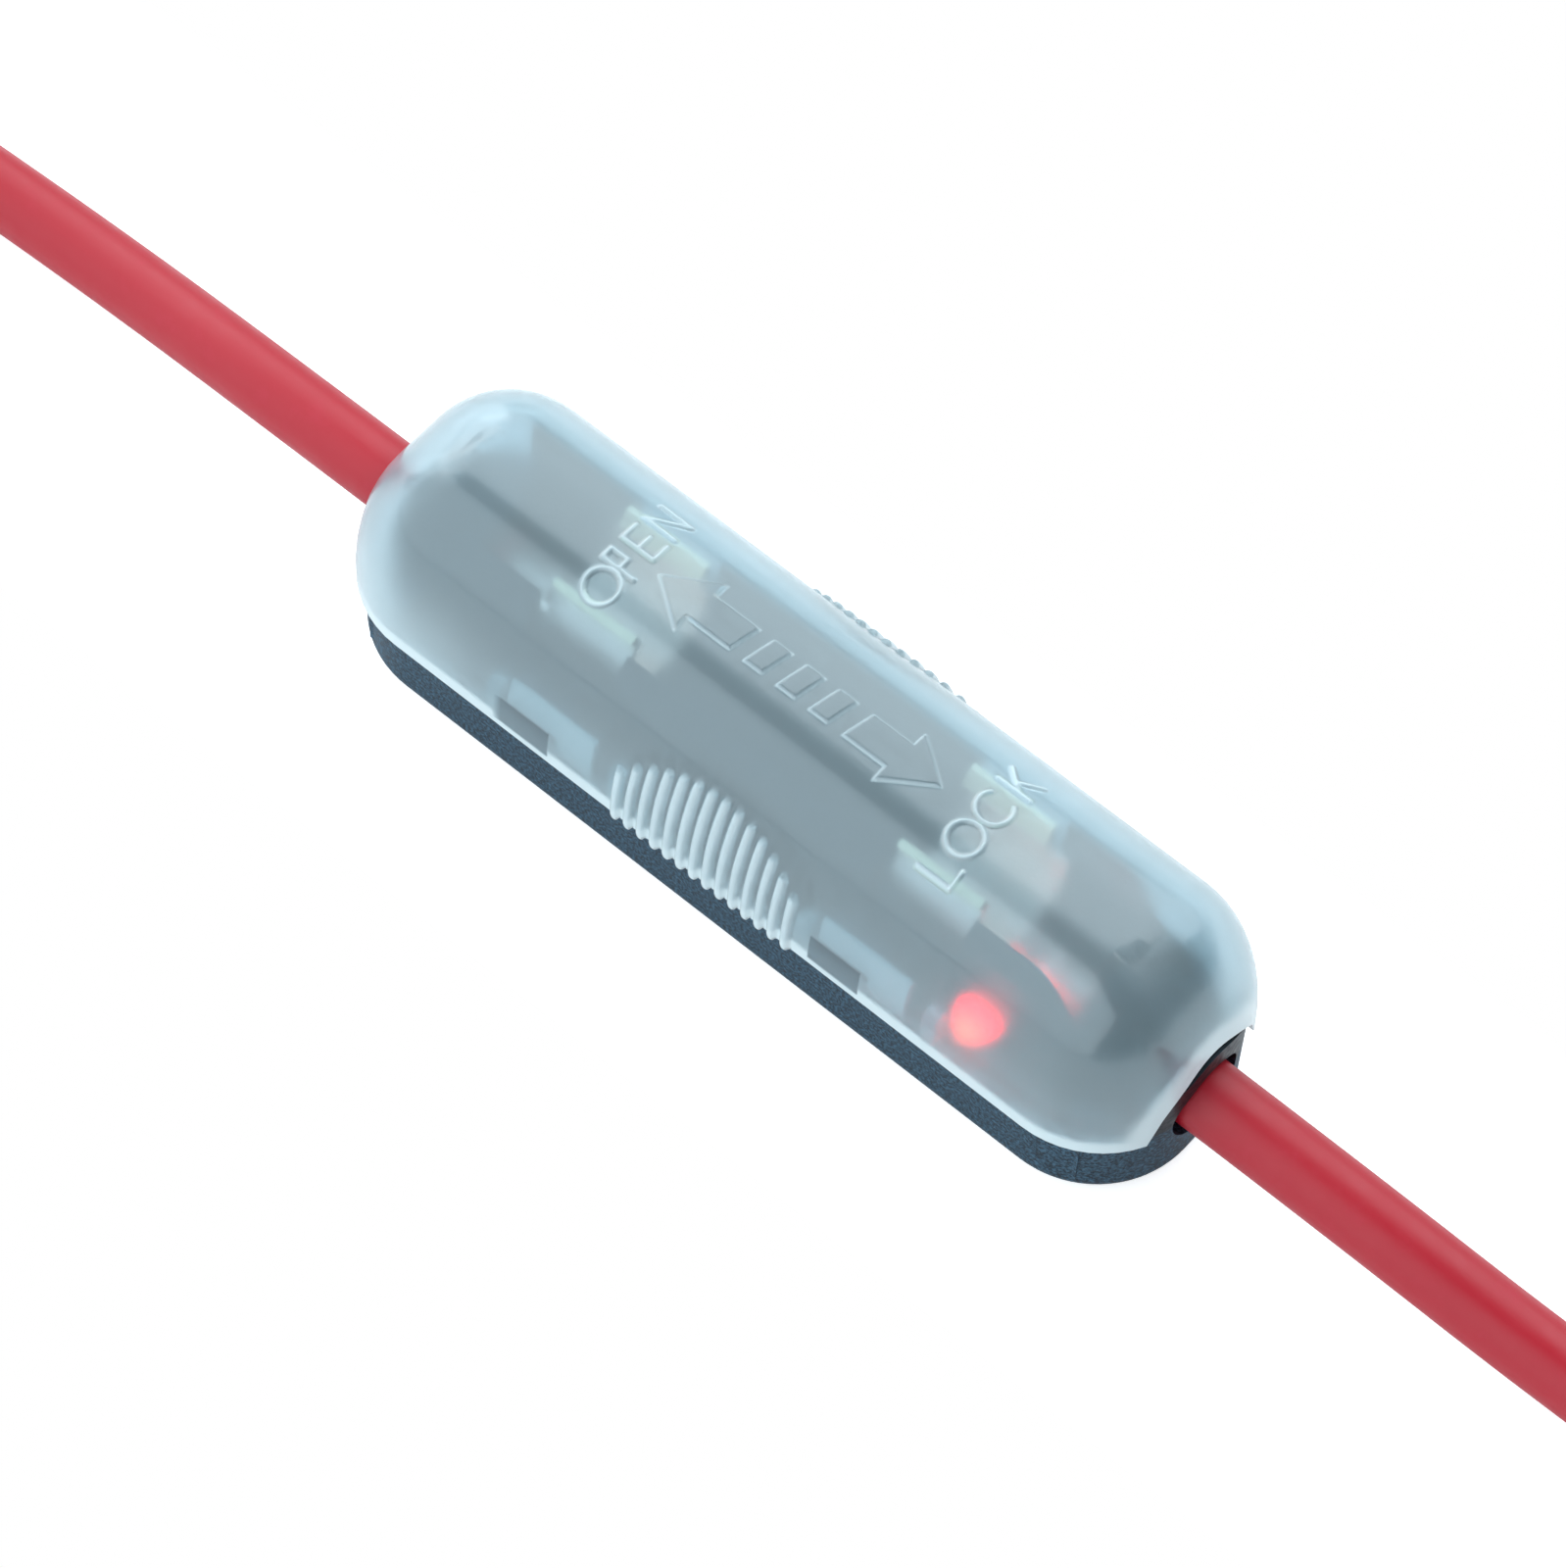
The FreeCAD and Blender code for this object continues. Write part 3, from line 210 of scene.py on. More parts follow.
soft_box("front_box", (-0.25, -0.57, 0.47), 2.2, 1.10, 11.0, "#EAF6FC")
soft_box("left_box", (-0.72, 0.27, 0.24), 0.7, 0.5, 1.6, "#F2FAFD")
soft_box("back_box", (-0.24, 0.57, 0.72), 2.2, 0.90, 10.8, "#EFF8FD")
print("soft boxes:", [lamp.name for lamp in bpy.data.lights])

# %% [markdown]
# ## Black moulded plastic
# Tray and inner moulding are injection-moulded ABS, coloured right through. The tray's mould was
# spark eroded, which leaves a fine even grain, a tenth of a millimetre or less. Drawn that fine it
# would vanish in the picture, so it is drawn 0.22 mm across. The grain's tops are painted paler, a
# painted sheen for the light that they catch, and with a weak bluish gloss they give the eye a soft
# grey-blue sheen. The inner moulding comes from a smoother mould. A photo of such plastic could be
# wrapped on, but noise in Object coordinates needs no seams.

# %% Black plastics
# The span of the noise over which the grain's tops turn to the paler painted sheen.
GRAIN_TOPS = (0.42, 0.66)


def moulded(name, shade, painted_sheen, grain, bite, roughness, shine):
    """Moulded ABS: its colour, the painted sheen on the grain's tops, the grain's width and bite."""
    material, tree, output = new_finish(name)
    place = add(tree, "ShaderNodeTexCoord").outputs["Object"]
    spark = add(tree, "ShaderNodeTexNoise", {"Vector": place, "Scale": 1 / (grain * MM),
                                             "Detail": 3.0, "Roughness": 0.6})
    peak = add(tree, "ShaderNodeMapRange", {0: spark.outputs[0], 1: GRAIN_TOPS[0], 2: GRAIN_TOPS[1],
                                            3: 0.0, 4: 1.0})
    shade = add(tree, "ShaderNodeMix", {0: peak.outputs[0], 6: paint(shade), 7: paint(painted_sheen)},
                data_type="RGBA")
    polish = add(tree, "ShaderNodeMapRange", {0: spark.outputs[0], 1: NOISE_LOW, 2: NOISE_HIGH,
                                              3: roughness - 0.08, 4: roughness + 0.10})
    relief = add(tree, "ShaderNodeBump", {"Height": spark.outputs[0], "Strength": bite,
                                          "Distance": 0.04 * MM})
    skin = add(tree, "ShaderNodeBsdfPrincipled", {
        "Base Color": shade.outputs[2], "Roughness": polish.outputs[0], "Normal": relief.outputs[0],
        "IOR": 1.54, "Specular IOR Level": shine, "Specular Tint": paint("#BFD8F0")})
    tree.links.new(skin.outputs[0], output.inputs["Surface"])
    return material


textured_abs = moulded("spark_textured_abs", "#10202C", "#48667B", 0.22, 1.0, 0.46, 0.22)
smooth_abs = moulded("smooth_moulded_abs", "#0B0E11", "#12161A", 0.45, 0.5, 0.40, 0.3)
print("plastics:", textured_abs.name, "and", smooth_abs.name)

# %% [markdown]
# ## Metals
# The clips are stamped from brass strip and tin plated: pale, slightly warm, brushed by the rollers
# along the body. Their flared lips get a painted highlight: above a set height the colour turns a
# little paler and yellower, for the lamps' light that they catch. The leads' strands are bare
# copper. The legs of the lamp and of the resistor are tinned wire, the solder is smooth with a faint
# skin, and the screws are zinc plated. All are one recipe with other numbers: noise, stretched
# along the marks, for gloss and relief, and a wider noise for tarnish.

# %% Metals
# A painted highlight on the clips' lips: the colour blends to a paler yellow from 13.9 to 14.4 mm up.
TIN_LIP_HIGHLIGHT = (13.9, 14.4, "#FFEFD2")


def metal(name, shade, tarnish, stretch, grain, roughness, lip_highlight=None):
    """A bare metal. The lip highlight is where, in height, a painted highlight starts and is full."""
    material, tree, output = new_finish(name)
    place = add(tree, "ShaderNodeTexCoord").outputs["Object"]
    drawn_out = add(tree, "ShaderNodeMapping", {"Vector": place, "Scale": stretch})
    rolled = add(tree, "ShaderNodeTexNoise", {"Vector": drawn_out.outputs[0],
                                              "Scale": 1 / (grain * MM), "Detail": 3.0})
    cloud = add(tree, "ShaderNodeTexNoise", {"Vector": place, "Scale": 1 / (3 * MM), "Detail": 2.0})
    shade = add(tree, "ShaderNodeMix", {0: cloud.outputs[0], 6: paint(shade), 7: paint(tarnish)},
                data_type="RGBA")
    # The painted highlight: a paler colour above a height, standing in for light on the lips.
    if lip_highlight:
        start, full, highlight_tone = lip_highlight
        tall = add(tree, "ShaderNodeSeparateXYZ", {0: place}).outputs[2]
        highlighted_part = add(tree, "ShaderNodeMapRange", {0: tall, 1: start * MM, 2: full * MM, 3: 0.0,
                                                 4: 1.0})
        shade = add(tree, "ShaderNodeMix", {0: highlighted_part.outputs[0], 6: shade.outputs[2],
                                            7: paint(highlight_tone)}, data_type="RGBA")
    polish = add(tree, "ShaderNodeMapRange", {0: rolled.outputs[0], 1: NOISE_LOW, 2: NOISE_HIGH,
                                              3: roughness - 0.07, 4: roughness + 0.10})
    relief = add(tree, "ShaderNodeBump", {"Height": rolled.outputs[0], "Strength": 0.3,
                                          "Distance": 0.02 * MM})
    skin = add(tree, "ShaderNodeBsdfPrincipled", {
        "Base Color": shade.outputs[2], "Roughness": polish.outputs[0], "Normal": relief.outputs[0],
        "Metallic": 1.0})
    tree.links.new(skin.outputs[0], output.inputs["Surface"])
    return material


tin_plate = metal("tin_plated_brass", "#FFECE2", "#FBE2D6", (0.15, 1, 1), 0.2, 0.46, TIN_LIP_HIGHLIGHT)
copper = metal("bare_copper", "#D98A5E", "#B86C45", (0.2, 1, 1), 0.1, 0.28)
tinned = metal("tinned_wire", "#D9DBDC", "#C3C6C8", (0.3, 1, 1), 0.15, 0.30)
solder = metal("solder", "#CFD2D4", "#B4B8BB", (1, 1, 1), 0.6, 0.34)
zinc = metal("zinc_plated_steel", "#C9CDCF", "#AFB5B9", (1, 1, 1), 0.3, 0.33)
print("metals:", [m.name for m in (tin_plate, copper, tinned, solder, zinc)])

# %% [markdown]
# ## Soft red PVC
# The leads' jackets are extruded PVC. It flows through a round die, so its marks run along the lead,
# very faint and half a millimetre apart, with a soft highlight and a few paler, duller scuffs about
# two millimetres wide where it has been handled. Two noises do it: one stretched along the lead for
# the relief, one plain for the scuffs.

# %% Red PVC
SCUFF_FROM, SCUFF_FULL, SCUFF_STRENGTH = 0.56, 0.74, 0.25
red_pvc, tree, output = new_finish("red_extruded_pvc")
place = add(tree, "ShaderNodeTexCoord").outputs["Object"]
along = add(tree, "ShaderNodeMapping", {"Vector": place, "Scale": (0.08, 1, 1)})
die_marks = add(tree, "ShaderNodeTexNoise", {"Vector": along.outputs[0], "Scale": 1 / (0.5 * MM),
                                             "Detail": 3.0})
scuff = add(tree, "ShaderNodeTexNoise", {"Vector": place, "Scale": 1 / (2.2 * MM), "Detail": 5.0,
                                         "Roughness": 0.65})
worn = add(tree, "ShaderNodeMapRange", {0: scuff.outputs[0], 1: SCUFF_FROM, 2: SCUFF_FULL,
                                        3: 0.0, 4: SCUFF_STRENGTH})
shade = add(tree, "ShaderNodeMix", {0: worn.outputs[0], 6: paint("#B40B24"), 7: paint("#C22B44")},
            data_type="RGBA")
polish = add(tree, "ShaderNodeMapRange", {0: scuff.outputs[0], 1: NOISE_LOW, 2: 0.75, 3: 0.34,
                                          4: 0.52})
relief = add(tree, "ShaderNodeBump", {"Height": die_marks.outputs[0], "Strength": 0.25,
                                      "Distance": 0.03 * MM})
skin = add(tree, "ShaderNodeBsdfPrincipled", {
    "Base Color": shade.outputs[2], "Roughness": polish.outputs[0], "Normal": relief.outputs[0],
    "IOR": 1.53})
tree.links.new(skin.outputs[0], output.inputs["Surface"])
print("jacket:", red_pvc.name)

# %% [markdown]
# ## The glowing lamp
# A red epoxy lens with a chip inside: the middle of the lens is almost orange, its skin deep red. A
# small lamp inside a glass lens would be true to life but slow and noisy, so the lens itself glows.
# The distance from the lamp's own axis tells middle and skin apart, so the pattern stays with it.

# %% Lamp
LAMP_AXIS = (18.1 * MM, 0.0, 7.0 * MM)
CORE_ENDS, SKIN_STARTS = 0.2, 1.4
red_lamp, tree, output = new_finish("lit_red_epoxy")
place = add(tree, "ShaderNodeTexCoord").outputs["Object"]
from_axis = add(tree, "ShaderNodeVectorMath", {0: place, 1: LAMP_AXIS}, operation="SUBTRACT")
across = add(tree, "ShaderNodeVectorMath", {0: from_axis.outputs[0], 1: (1, 0, 1)},
             operation="MULTIPLY")
radius = add(tree, "ShaderNodeVectorMath", {0: across.outputs[0]}, operation="LENGTH")
core = add(tree, "ShaderNodeMapRange", {0: radius.outputs["Value"], 1: CORE_ENDS * MM,
                                        2: SKIN_STARTS * MM, 3: 1.0, 4: 0.0})
shade = add(tree, "ShaderNodeMix", {0: core.outputs[0], 6: paint("#FF0A18"), 7: paint("#FF5030")},
            data_type="RGBA")
swirl = add(tree, "ShaderNodeTexNoise", {"Vector": place, "Scale": 1 / (0.6 * MM), "Detail": 2.0})
relief = add(tree, "ShaderNodeBump", {"Height": swirl.outputs[0], "Strength": 0.1,
                                      "Distance": 0.02 * MM})
skin = add(tree, "ShaderNodeBsdfPrincipled", {
    "Base Color": paint("#D01018"), "Roughness": 0.12, "IOR": 1.51, "Normal": relief.outputs[0],
    "Emission Color": shade.outputs[2], "Emission Strength": 9.5})
tree.links.new(skin.outputs[0], output.inputs["Surface"])
print("lamp:", red_lamp.name)

# %% [markdown]
# ## Resistor and sleeve
# The resistor is dipped in tan lacquer and ringed with four colour bands. A colour ramp along its own
# length paints them, with hard steps, as the printing wheel leaves them. The sleeve is thin blue
# tubing, pushed over the long wire, a little cloudy where it is folded.

# %% Resistor, sleeve
resistor_low, resistor_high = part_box("resistor_body")
lacquer, tree, output = new_finish("banded_lacquer")
place = add(tree, "ShaderNodeTexCoord").outputs["Object"]
along = add(tree, "ShaderNodeSeparateXYZ", {0: place})
share = add(tree, "ShaderNodeMapRange", {0: along.outputs[0], 1: resistor_low[0],
                                         2: resistor_high[0], 3: 0.0, 4: 1.0})
bands = add(tree, "ShaderNodeValToRGB", {0: share.outputs[0]})
bands.color_ramp.interpolation = "CONSTANT"
TAN = "#C9A878"
BANDS = [(0.0, TAN), (0.16, "#7A4A22"), (0.25, TAN), (0.34, "#151515"), (0.43, TAN),
         (0.52, "#C43A2C"), (0.61, TAN), (0.78, "#B8923C"), (0.87, TAN)]
for index, (start, code) in enumerate(BANDS):
    stop = bands.color_ramp.elements[index] if index < 2 else bands.color_ramp.elements.new(start)
    stop.position = start
    stop.color = paint(code)
drips = add(tree, "ShaderNodeTexNoise", {"Vector": place, "Scale": 1 / (0.8 * MM), "Detail": 2.0})
relief = add(tree, "ShaderNodeBump", {"Height": drips.outputs[0], "Strength": 0.3,
                                      "Distance": 0.05 * MM})
skin = add(tree, "ShaderNodeBsdfPrincipled", {"Base Color": bands.outputs[0], "Roughness": 0.3,
                                              "IOR": 1.5, "Normal": relief.outputs[0]})
tree.links.new(skin.outputs[0], output.inputs["Surface"])

tubing, tree, output = new_finish("blue_sleeving")
place = add(tree, "ShaderNodeTexCoord").outputs["Object"]
fold = add(tree, "ShaderNodeTexNoise", {"Vector": place, "Scale": 1 / (1.2 * MM), "Detail": 3.0})
shade = add(tree, "ShaderNodeMix", {0: fold.outputs[0], 6: paint("#2E5D86"), 7: paint("#3F7099")},
            data_type="RGBA")
skin = add(tree, "ShaderNodeBsdfPrincipled", {"Base Color": shade.outputs[2], "Roughness": 0.4,
                                              "IOR": 1.5})
tree.links.new(skin.outputs[0], output.inputs["Surface"])
print("resistor:", lacquer.name, "with", len(BANDS) // 2, "bands, sleeve:", tubing.name)

# %% [markdown]
# ## Dress the solids whose shape is already right
# A solid that keeps its shape only changes its material slot. Its mesh stays as it is, so it still
# fits its neighbours.

# %% Materials on the solids
FINISHES = {
    "base_shell": textured_abs, "fuse_carrier": smooth_abs,
    "contact_clip_left": tin_plate, "contact_clip_right": tin_plate,
    "led_lamp": red_lamp, "led_lead_anode": tinned, "led_lead_cathode": tinned,
    "resistor_body": lacquer, "resistor_wire_left": tinned, "resistor_wire_right": tinned,
    "insulating_sleeve": tubing, "solder_joint_left": solder, "solder_joint_right": solder,
    "solder_joint_splice": solder, "assembly_screw_left": zinc, "assembly_screw_right": zinc,
}
for name, material in FINISHES.items():
    node = nodes[name]
    node.data.materials.clear()
    node.data.materials.append(material)
print("dressed:", len(FINISHES), "solids")

# %% [markdown]
# ## Leads
# Each lead leaves its collar level, sinks to the card and runs on in a slow wave. One smooth curve
# through the route's corners gives that, with a round section swept along it. The jacket stops 8 mm
# short of the end, where the strands come out bare. A lead that lies on the card has its axis one
# radius above it.

# %% Routes
AXIS_HEIGHT = 6.0
RADIUS = 2.3
STRIP = 8.0
JACKET_START, CORE_START = 22.3, 18.75
ROUTES = {
    "right": [(38, 0, AXIS_HEIGHT), (58.5, 1.3, RADIUS), (82, 2.2, RADIUS), (106, -0.6, RADIUS),
              (129.5, -1.6, RADIUS)],
    "left": [(-38, 0, AXIS_HEIGHT), (-58.5, 1.5, RADIUS), (-82, 0.4, RADIUS), (-106, 1.8, RADIUS),
             (-129.5, 0.4, RADIUS)],
}


def smooth_route(name, points, radius=0.0):
    """A curve object with one open NURBS spline, in metres."""
    curve = bpy.data.curves.new(name, "CURVE")
    curve.dimensions = "3D"
    curve.resolution_u = 24
    curve.bevel_depth = radius * MM
    curve.bevel_resolution = 8
    curve.use_fill_caps = radius > 0
    spline = curve.splines.new("NURBS")
    spline.points.add(len(points) - 1)
    for point, (x, y, z) in zip(spline.points, points):
        point.co = (x * MM, y * MM, z * MM, 1)
    spline.order_u = 3
    spline.use_endpoint_u = True
    thing = bpy.data.objects.new(name, curve)
    bpy.context.scene.collection.objects.link(thing)
    return thing


print("routes:", {side: len(route) for side, route in ROUTES.items()}, "points")

# %% [markdown]
# ## Strands
# A flexible lead has dozens of thin wires, laid in rings that turn slowly round each other. Drawn
# one by one they would be more than a hundred curves. They follow a rule, so Geometry Nodes lay
# them: the route is copied once for each wire, each copy is pushed off the middle by its ring's
# radius, and its angle grows along the length. A small disc swept along every copy makes the wire.
# The rings lie a little closer than a wire's width, because wires bed into the ring below.

# %% A tree that lays strands
WIRE = 0.29
BEDDED = 0.95
LAY, STEP = 22, 1.5
OUTER_RING = (1.1, 23)
RINGS = [(0.0, 1)] + [(WIRE * BEDDED * ring, 6 * ring) for ring in (1, 2, 3)] + [OUTER_RING]


def new_tree(name, inputs):
    """A tree that takes a geometry and named inputs, and the outputs of its input node."""
    tree = bpy.data.node_groups.new(name, "GeometryNodeTree")
    for label, kind in {"Geometry": "NodeSocketGeometry", **inputs}.items():
        tree.interface.new_socket(label, in_out="INPUT", socket_type=kind)
    tree.interface.new_socket("Geometry", in_out="OUTPUT", socket_type="NodeSocketGeometry")
    return tree, add(tree, "NodeGroupInput").outputs


def end_tree(tree, geometry, material):
    """Makes instances real, gives them their material and hands the geometry out."""
    real = add(tree, "GeometryNodeRealizeInstances", {"Geometry": geometry})
    done = add(tree, "GeometryNodeSetMaterial", {"Geometry": real.outputs[0], "Material": material})
    add(tree, "NodeGroupOutput", {0: done.outputs[0]})


def strand_tree(name, material):
    """Lays wires in rings round a route."""
    tree, given = new_tree(name, {"Wire diameter": "NodeSocketFloat",
                                  "Lay length": "NodeSocketFloat", "Step": "NodeSocketFloat"})
    route = add(tree, "GeometryNodeResampleCurve", {"Curve": given["Geometry"],
                                                    "Length": given["Step"]}, mode="LENGTH")
    half = add(tree, "ShaderNodeMath", {0: given["Wire diameter"], 1: 0.5}, operation="MULTIPLY")
    disc = add(tree, "GeometryNodeCurvePrimitiveCircle", {"Resolution": 6,
                                                          "Radius": half.outputs[0]})
    length = add(tree, "GeometryNodeSplineParameter").outputs["Length"]
    turns = add(tree, "ShaderNodeMath", {0: length, 1: given["Lay length"]}, operation="DIVIDE")
    normal = add(tree, "GeometryNodeInputNormal").outputs[0]
    tangent = add(tree, "GeometryNodeInputTangent").outputs[0]
    side = add(tree, "ShaderNodeVectorMath", {0: tangent, 1: normal}, operation="CROSS_PRODUCT")
    wires = add(tree, "GeometryNodeJoinGeometry")
    for radius, count in RINGS:
        copies = add(tree, "GeometryNodeDuplicateElements", {"Geometry": route.outputs[0],
                                                             "Amount": count}, domain="SPLINE")
        part = add(tree, "ShaderNodeMath", {0: copies.outputs["Duplicate Index"],
                                            1: float(count)}, operation="DIVIDE")
        angle = add(tree, "ShaderNodeMath", {0: part.outputs[0], 1: turns.outputs[0]})
        angle = add(tree, "ShaderNodeMath", {0: angle.outputs[0], 1: math.tau},
                    operation="MULTIPLY")
        cosine = add(tree, "ShaderNodeMath", {0: angle.outputs[0]}, operation="COSINE")
        sine = add(tree, "ShaderNodeMath", {0: angle.outputs[0]}, operation="SINE")
        one = add(tree, "ShaderNodeVectorMath", {0: normal, "Scale": cosine.outputs[0]},
                  operation="SCALE")
        two = add(tree, "ShaderNodeVectorMath", {0: side.outputs[0], "Scale": sine.outputs[0]},
                  operation="SCALE")
        push = add(tree, "ShaderNodeVectorMath", {0: one.outputs[0], 1: two.outputs[0]})
        push = add(tree, "ShaderNodeVectorMath", {0: push.outputs[0], "Scale": radius * MM},
                   operation="SCALE")
        moved = add(tree, "GeometryNodeSetPosition", {"Geometry": copies.outputs[0],
                                                      "Offset": push.outputs[0]})
        swept = add(tree, "GeometryNodeCurveToMesh", {"Curve": moved.outputs[0],
                                                      "Profile Curve": disc.outputs[0],
                                                      "Fill Caps": True})
        tree.links.new(swept.outputs[0], wires.inputs[0])
    end_tree(tree, wires.outputs[0], material)
    return tree


def grown(thing, tree, values):
    """Runs a tree on an object, and gives the result back as a plain mesh object of that name."""
    modifier = thing.modifiers.new(tree.name, "NODES")
    modifier.node_group = tree
    for socket in tree.interface.items_tree:
        if socket.in_out == "INPUT" and socket.name in values:
            modifier[socket.identifier] = values[socket.name]
    bpy.context.view_layer.update()
    evaluated = thing.evaluated_get(bpy.context.evaluated_depsgraph_get())
    mesh = bpy.data.meshes.new_from_object(evaluated)
    name = thing.name
    bpy.data.objects.remove(thing)
    result = bpy.data.objects.new(name, mesh)
    mesh.name = name
    bpy.context.scene.collection.objects.link(result)
    return result


print("wires in a lead:", sum(count for radius, count in RINGS))

# %% Jackets and strands
strands = strand_tree("strand_lay", copper)
for side, route in ROUTES.items():
    sign = 1 if side == "right" else -1
    before, end = Vector(route[-2]), Vector(route[-1])
    strip_from = end - (end - before).normalized() * STRIP
    covered = [(sign * JACKET_START, 0, AXIS_HEIGHT)] + route[:-1] + [strip_from]
    jacket = smooth_route("lead_%s_jacket" % side, covered, RADIUS)
    jacket.data.materials.append(red_pvc)
    core = smooth_route("lead_%s_strands" % side, [(sign * CORE_START, 0, AXIS_HEIGHT)] + route)
    core = grown(core, strands, {"Wire diameter": WIRE * MM, "Lay length": LAY * MM,
                                 "Step": STEP * MM})
    core.data.shade_smooth()
    for piece, solid, finish in ((jacket, "insulation", "red_pvc"), (core, "conductor", "copper")):
        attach(piece, "holder")
        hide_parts("lead_%s_%s" % (side, solid))
    print(side, "strands:", len(core.data.polygons), "faces")

# %% [markdown]
# ## The cover's plain form
# Seen from above the cover is a long rectangle with almost round ends, seen from the end it is a
# tall arch. A box with bevelled edges comes close, but its ends don't dome, and a sculpted one isn't
# even. Both outlines come from one rule: a thin core rectangle, and round it a flank that goes
# outwards and down along a quarter of an oval. So we walk round the core in columns and up the
# flank in rows, close together only where the raised signs will be. In each end wall the columns
# start where they meet the arched notch for the lead. The inside follows the same walk with a
# smaller oval. The crown isn't quite flat: the oval runs on over it, so that light slides across
# it. An oval's form is its flank's width, its rise over the skirt and its power, where 2 is a
# circle's and more is squarer.

# %% Sizes of the cover, in millimetres
CORE_X, CORE_Y = 24.0, 1.65
RIM, SKIRT = 6.2, 6.7
OUTSIDE = (7.0, 10.9, 2.6)
INSIDE = (5.5, 9.4, 2.8)
NOTCH = 4.8
FINE, COARSE, END_PITCH = 0.11, 0.24, 0.65
FINE_X, FINE_FLANK = 15.0, 3.2
CORNER_STEP = math.radians(7)
INNER_ROWS = 12
CROWN_BLEND = 1.5
PROFILE_POINTS = 2000


def steps(low, high, pitch):
    """Places from low to high, about a pitch apart."""
    return list(np.linspace(low, high, max(1, round((high - low) / pitch)) + 1))


def oval(form, away):
    """Height of the cover at a distance from its middle plane."""
    flank, rise, power = form
    return SKIRT + rise * np.sqrt(1 - np.minimum(away / (CORE_Y + flank), 1) ** power)


def profile(form):
    """Arc length, distance from the core and height, up the skirt and the flank."""
    turn = np.linspace(0, math.pi / 2, PROFILE_POINTS)
    out = np.concatenate([[form[0]], form[0] * np.cos(turn)])
    high = np.concatenate([[RIM], oval(form, CORE_Y + out[1:])])
    length = np.concatenate([[0], np.cumsum(np.hypot(np.diff(out), np.diff(high)))])
    return length, out, high


print("height of the crown:", round(float(oval(OUTSIDE, 0.0)), 2), "mm")

# %% Columns round the core, each a foot on the core and a direction
across_x = (steps(-CORE_X, -FINE_X, END_PITCH)[:-1] + steps(-FINE_X, FINE_X, FINE)
            + steps(FINE_X, CORE_X, END_PITCH)[1:])
across_y = steps(-CORE_Y, CORE_Y, FINE)
columns = []
for quarter in range(4):
    along_side = quarter % 2 == 0
    turn = math.radians(-90 + 90 * quarter)
    way = (round(math.cos(turn)), round(math.sin(turn)))
    sign = -way[0] - way[1]
    for place in (across_x if along_side else across_y):
        foot = (sign * place, way[1] * CORE_Y) if along_side else (way[0] * CORE_X, -sign * place)
        columns.append((foot, way))
    corner = columns[-1][0]
    for angle in steps(turn, turn + math.pi / 2, CORNER_STEP)[1:-1]:
        columns.append((corner, (math.cos(angle), math.sin(angle))))
print("columns:", len(columns))

# %% A wall from columns and rows


def notch_start(foot, way, shape):
    """Arc length at which a column comes out of the arched notch."""
    length, out, high = shape
    if abs(foot[0] + way[0]) <= CORE_X:
        return 0.0
    from_axis = np.hypot(foot[1] + out * way[1], high - AXIS_HEIGHT)
    inside_notch = np.nonzero(from_axis < NOTCH)[0]
    if len(inside_notch) == 0:
        return 0.0
    last = inside_notch[-1]
    share = (NOTCH - from_axis[last]) / (from_axis[last + 1] - from_axis[last])
    return length[last] + share * (length[last + 1] - length[last])


def wall(form, rows):
    """Points of one wall: rows from the rim up, for each column, blended into the crown's oval."""
    shape = profile(form)
    length, out, high = shape
    points = []
    for foot, way in columns:
        start = notch_start(foot, way, shape)
        place = start + (length[-1] - start) * np.array(rows)
        far, tall = np.interp(place, length, out), np.interp(place, length, high)
        blend = np.clip(far / CROWN_BLEND, 0, 1)
        near_crown = np.clip(1 - far / CROWN_BLEND, 0, 1) ** 2 * (1 + 2 * blend)
        crowned = oval(form, CORE_Y + far - (CORE_Y - abs(foot[1])) * near_crown)
        tall = np.where(far < CROWN_BLEND, crowned, tall)
        points.append(np.stack([foot[0] + far * way[0], foot[1] + far * way[1], tall], axis=1))
    return np.array(points)


total = profile(OUTSIDE)[0][-1]
outer_rows = steps(0, total - FINE_FLANK, COARSE)[:-1] + steps(total - FINE_FLANK, total, FINE)
outer = wall(OUTSIDE, [row / total for row in outer_rows])
inner = wall(INSIDE, steps(0, 1, 1 / INNER_ROWS))
print("outer wall:", outer.shape[:2], "inner wall:", inner.shape[:2])

# %% Join the walls at crown and rim
# The inside's points are noted, because the inner face gets a finish of its own.
points, faces = [], []


def add_grid(grid, flip, closed):
    """Adds a grid of points as quads, closed round its first direction or not."""
    first = len(points)
    count, rows = grid.shape[:2]
    points.extend(grid.reshape(-1, 3))
    for i in range(count if closed else count - 1):
        j = (i + 1) % count
        for k in range(rows - 1):
            quad = [first + i * rows + k, first + j * rows + k, first + j * rows + k + 1,
                    first + i * rows + k + 1]
            faces.append(quad[::-1] if flip else quad)
    return range(first, len(points))


outer_face = add_grid(outer, False, True)
inner_face = list(add_grid(inner, True, True))
add_grid(np.stack([inner[:, 0], outer[:, 0]], axis=1), False, True)
for form, flip in ((OUTSIDE, False), (INSIDE, True)):
    crown = np.array([[(x, y, oval(form, abs(y))) for y in across_y] for x in across_x])
    crown_points = add_grid(crown, flip, False)
    if form == INSIDE:
        inner_face.extend(crown_points)
print("quads:", len(faces))

# %% [markdown]
# ## Lock pockets
# Inside, over each of the four lugs, the cover has a pocket: a ledge that hooks under the lug, a
# stop at each end of the slide, and two thin raised pads on the wall. Cutting and joining them with
# booleans would leave ragged edges in the fine wall, so each is a small closed block whose back
# follows the wall. A block is given by its ends along x, counted from its lug's own place, its
# height, and its thickness, or none where it reaches out to the ledges' face.

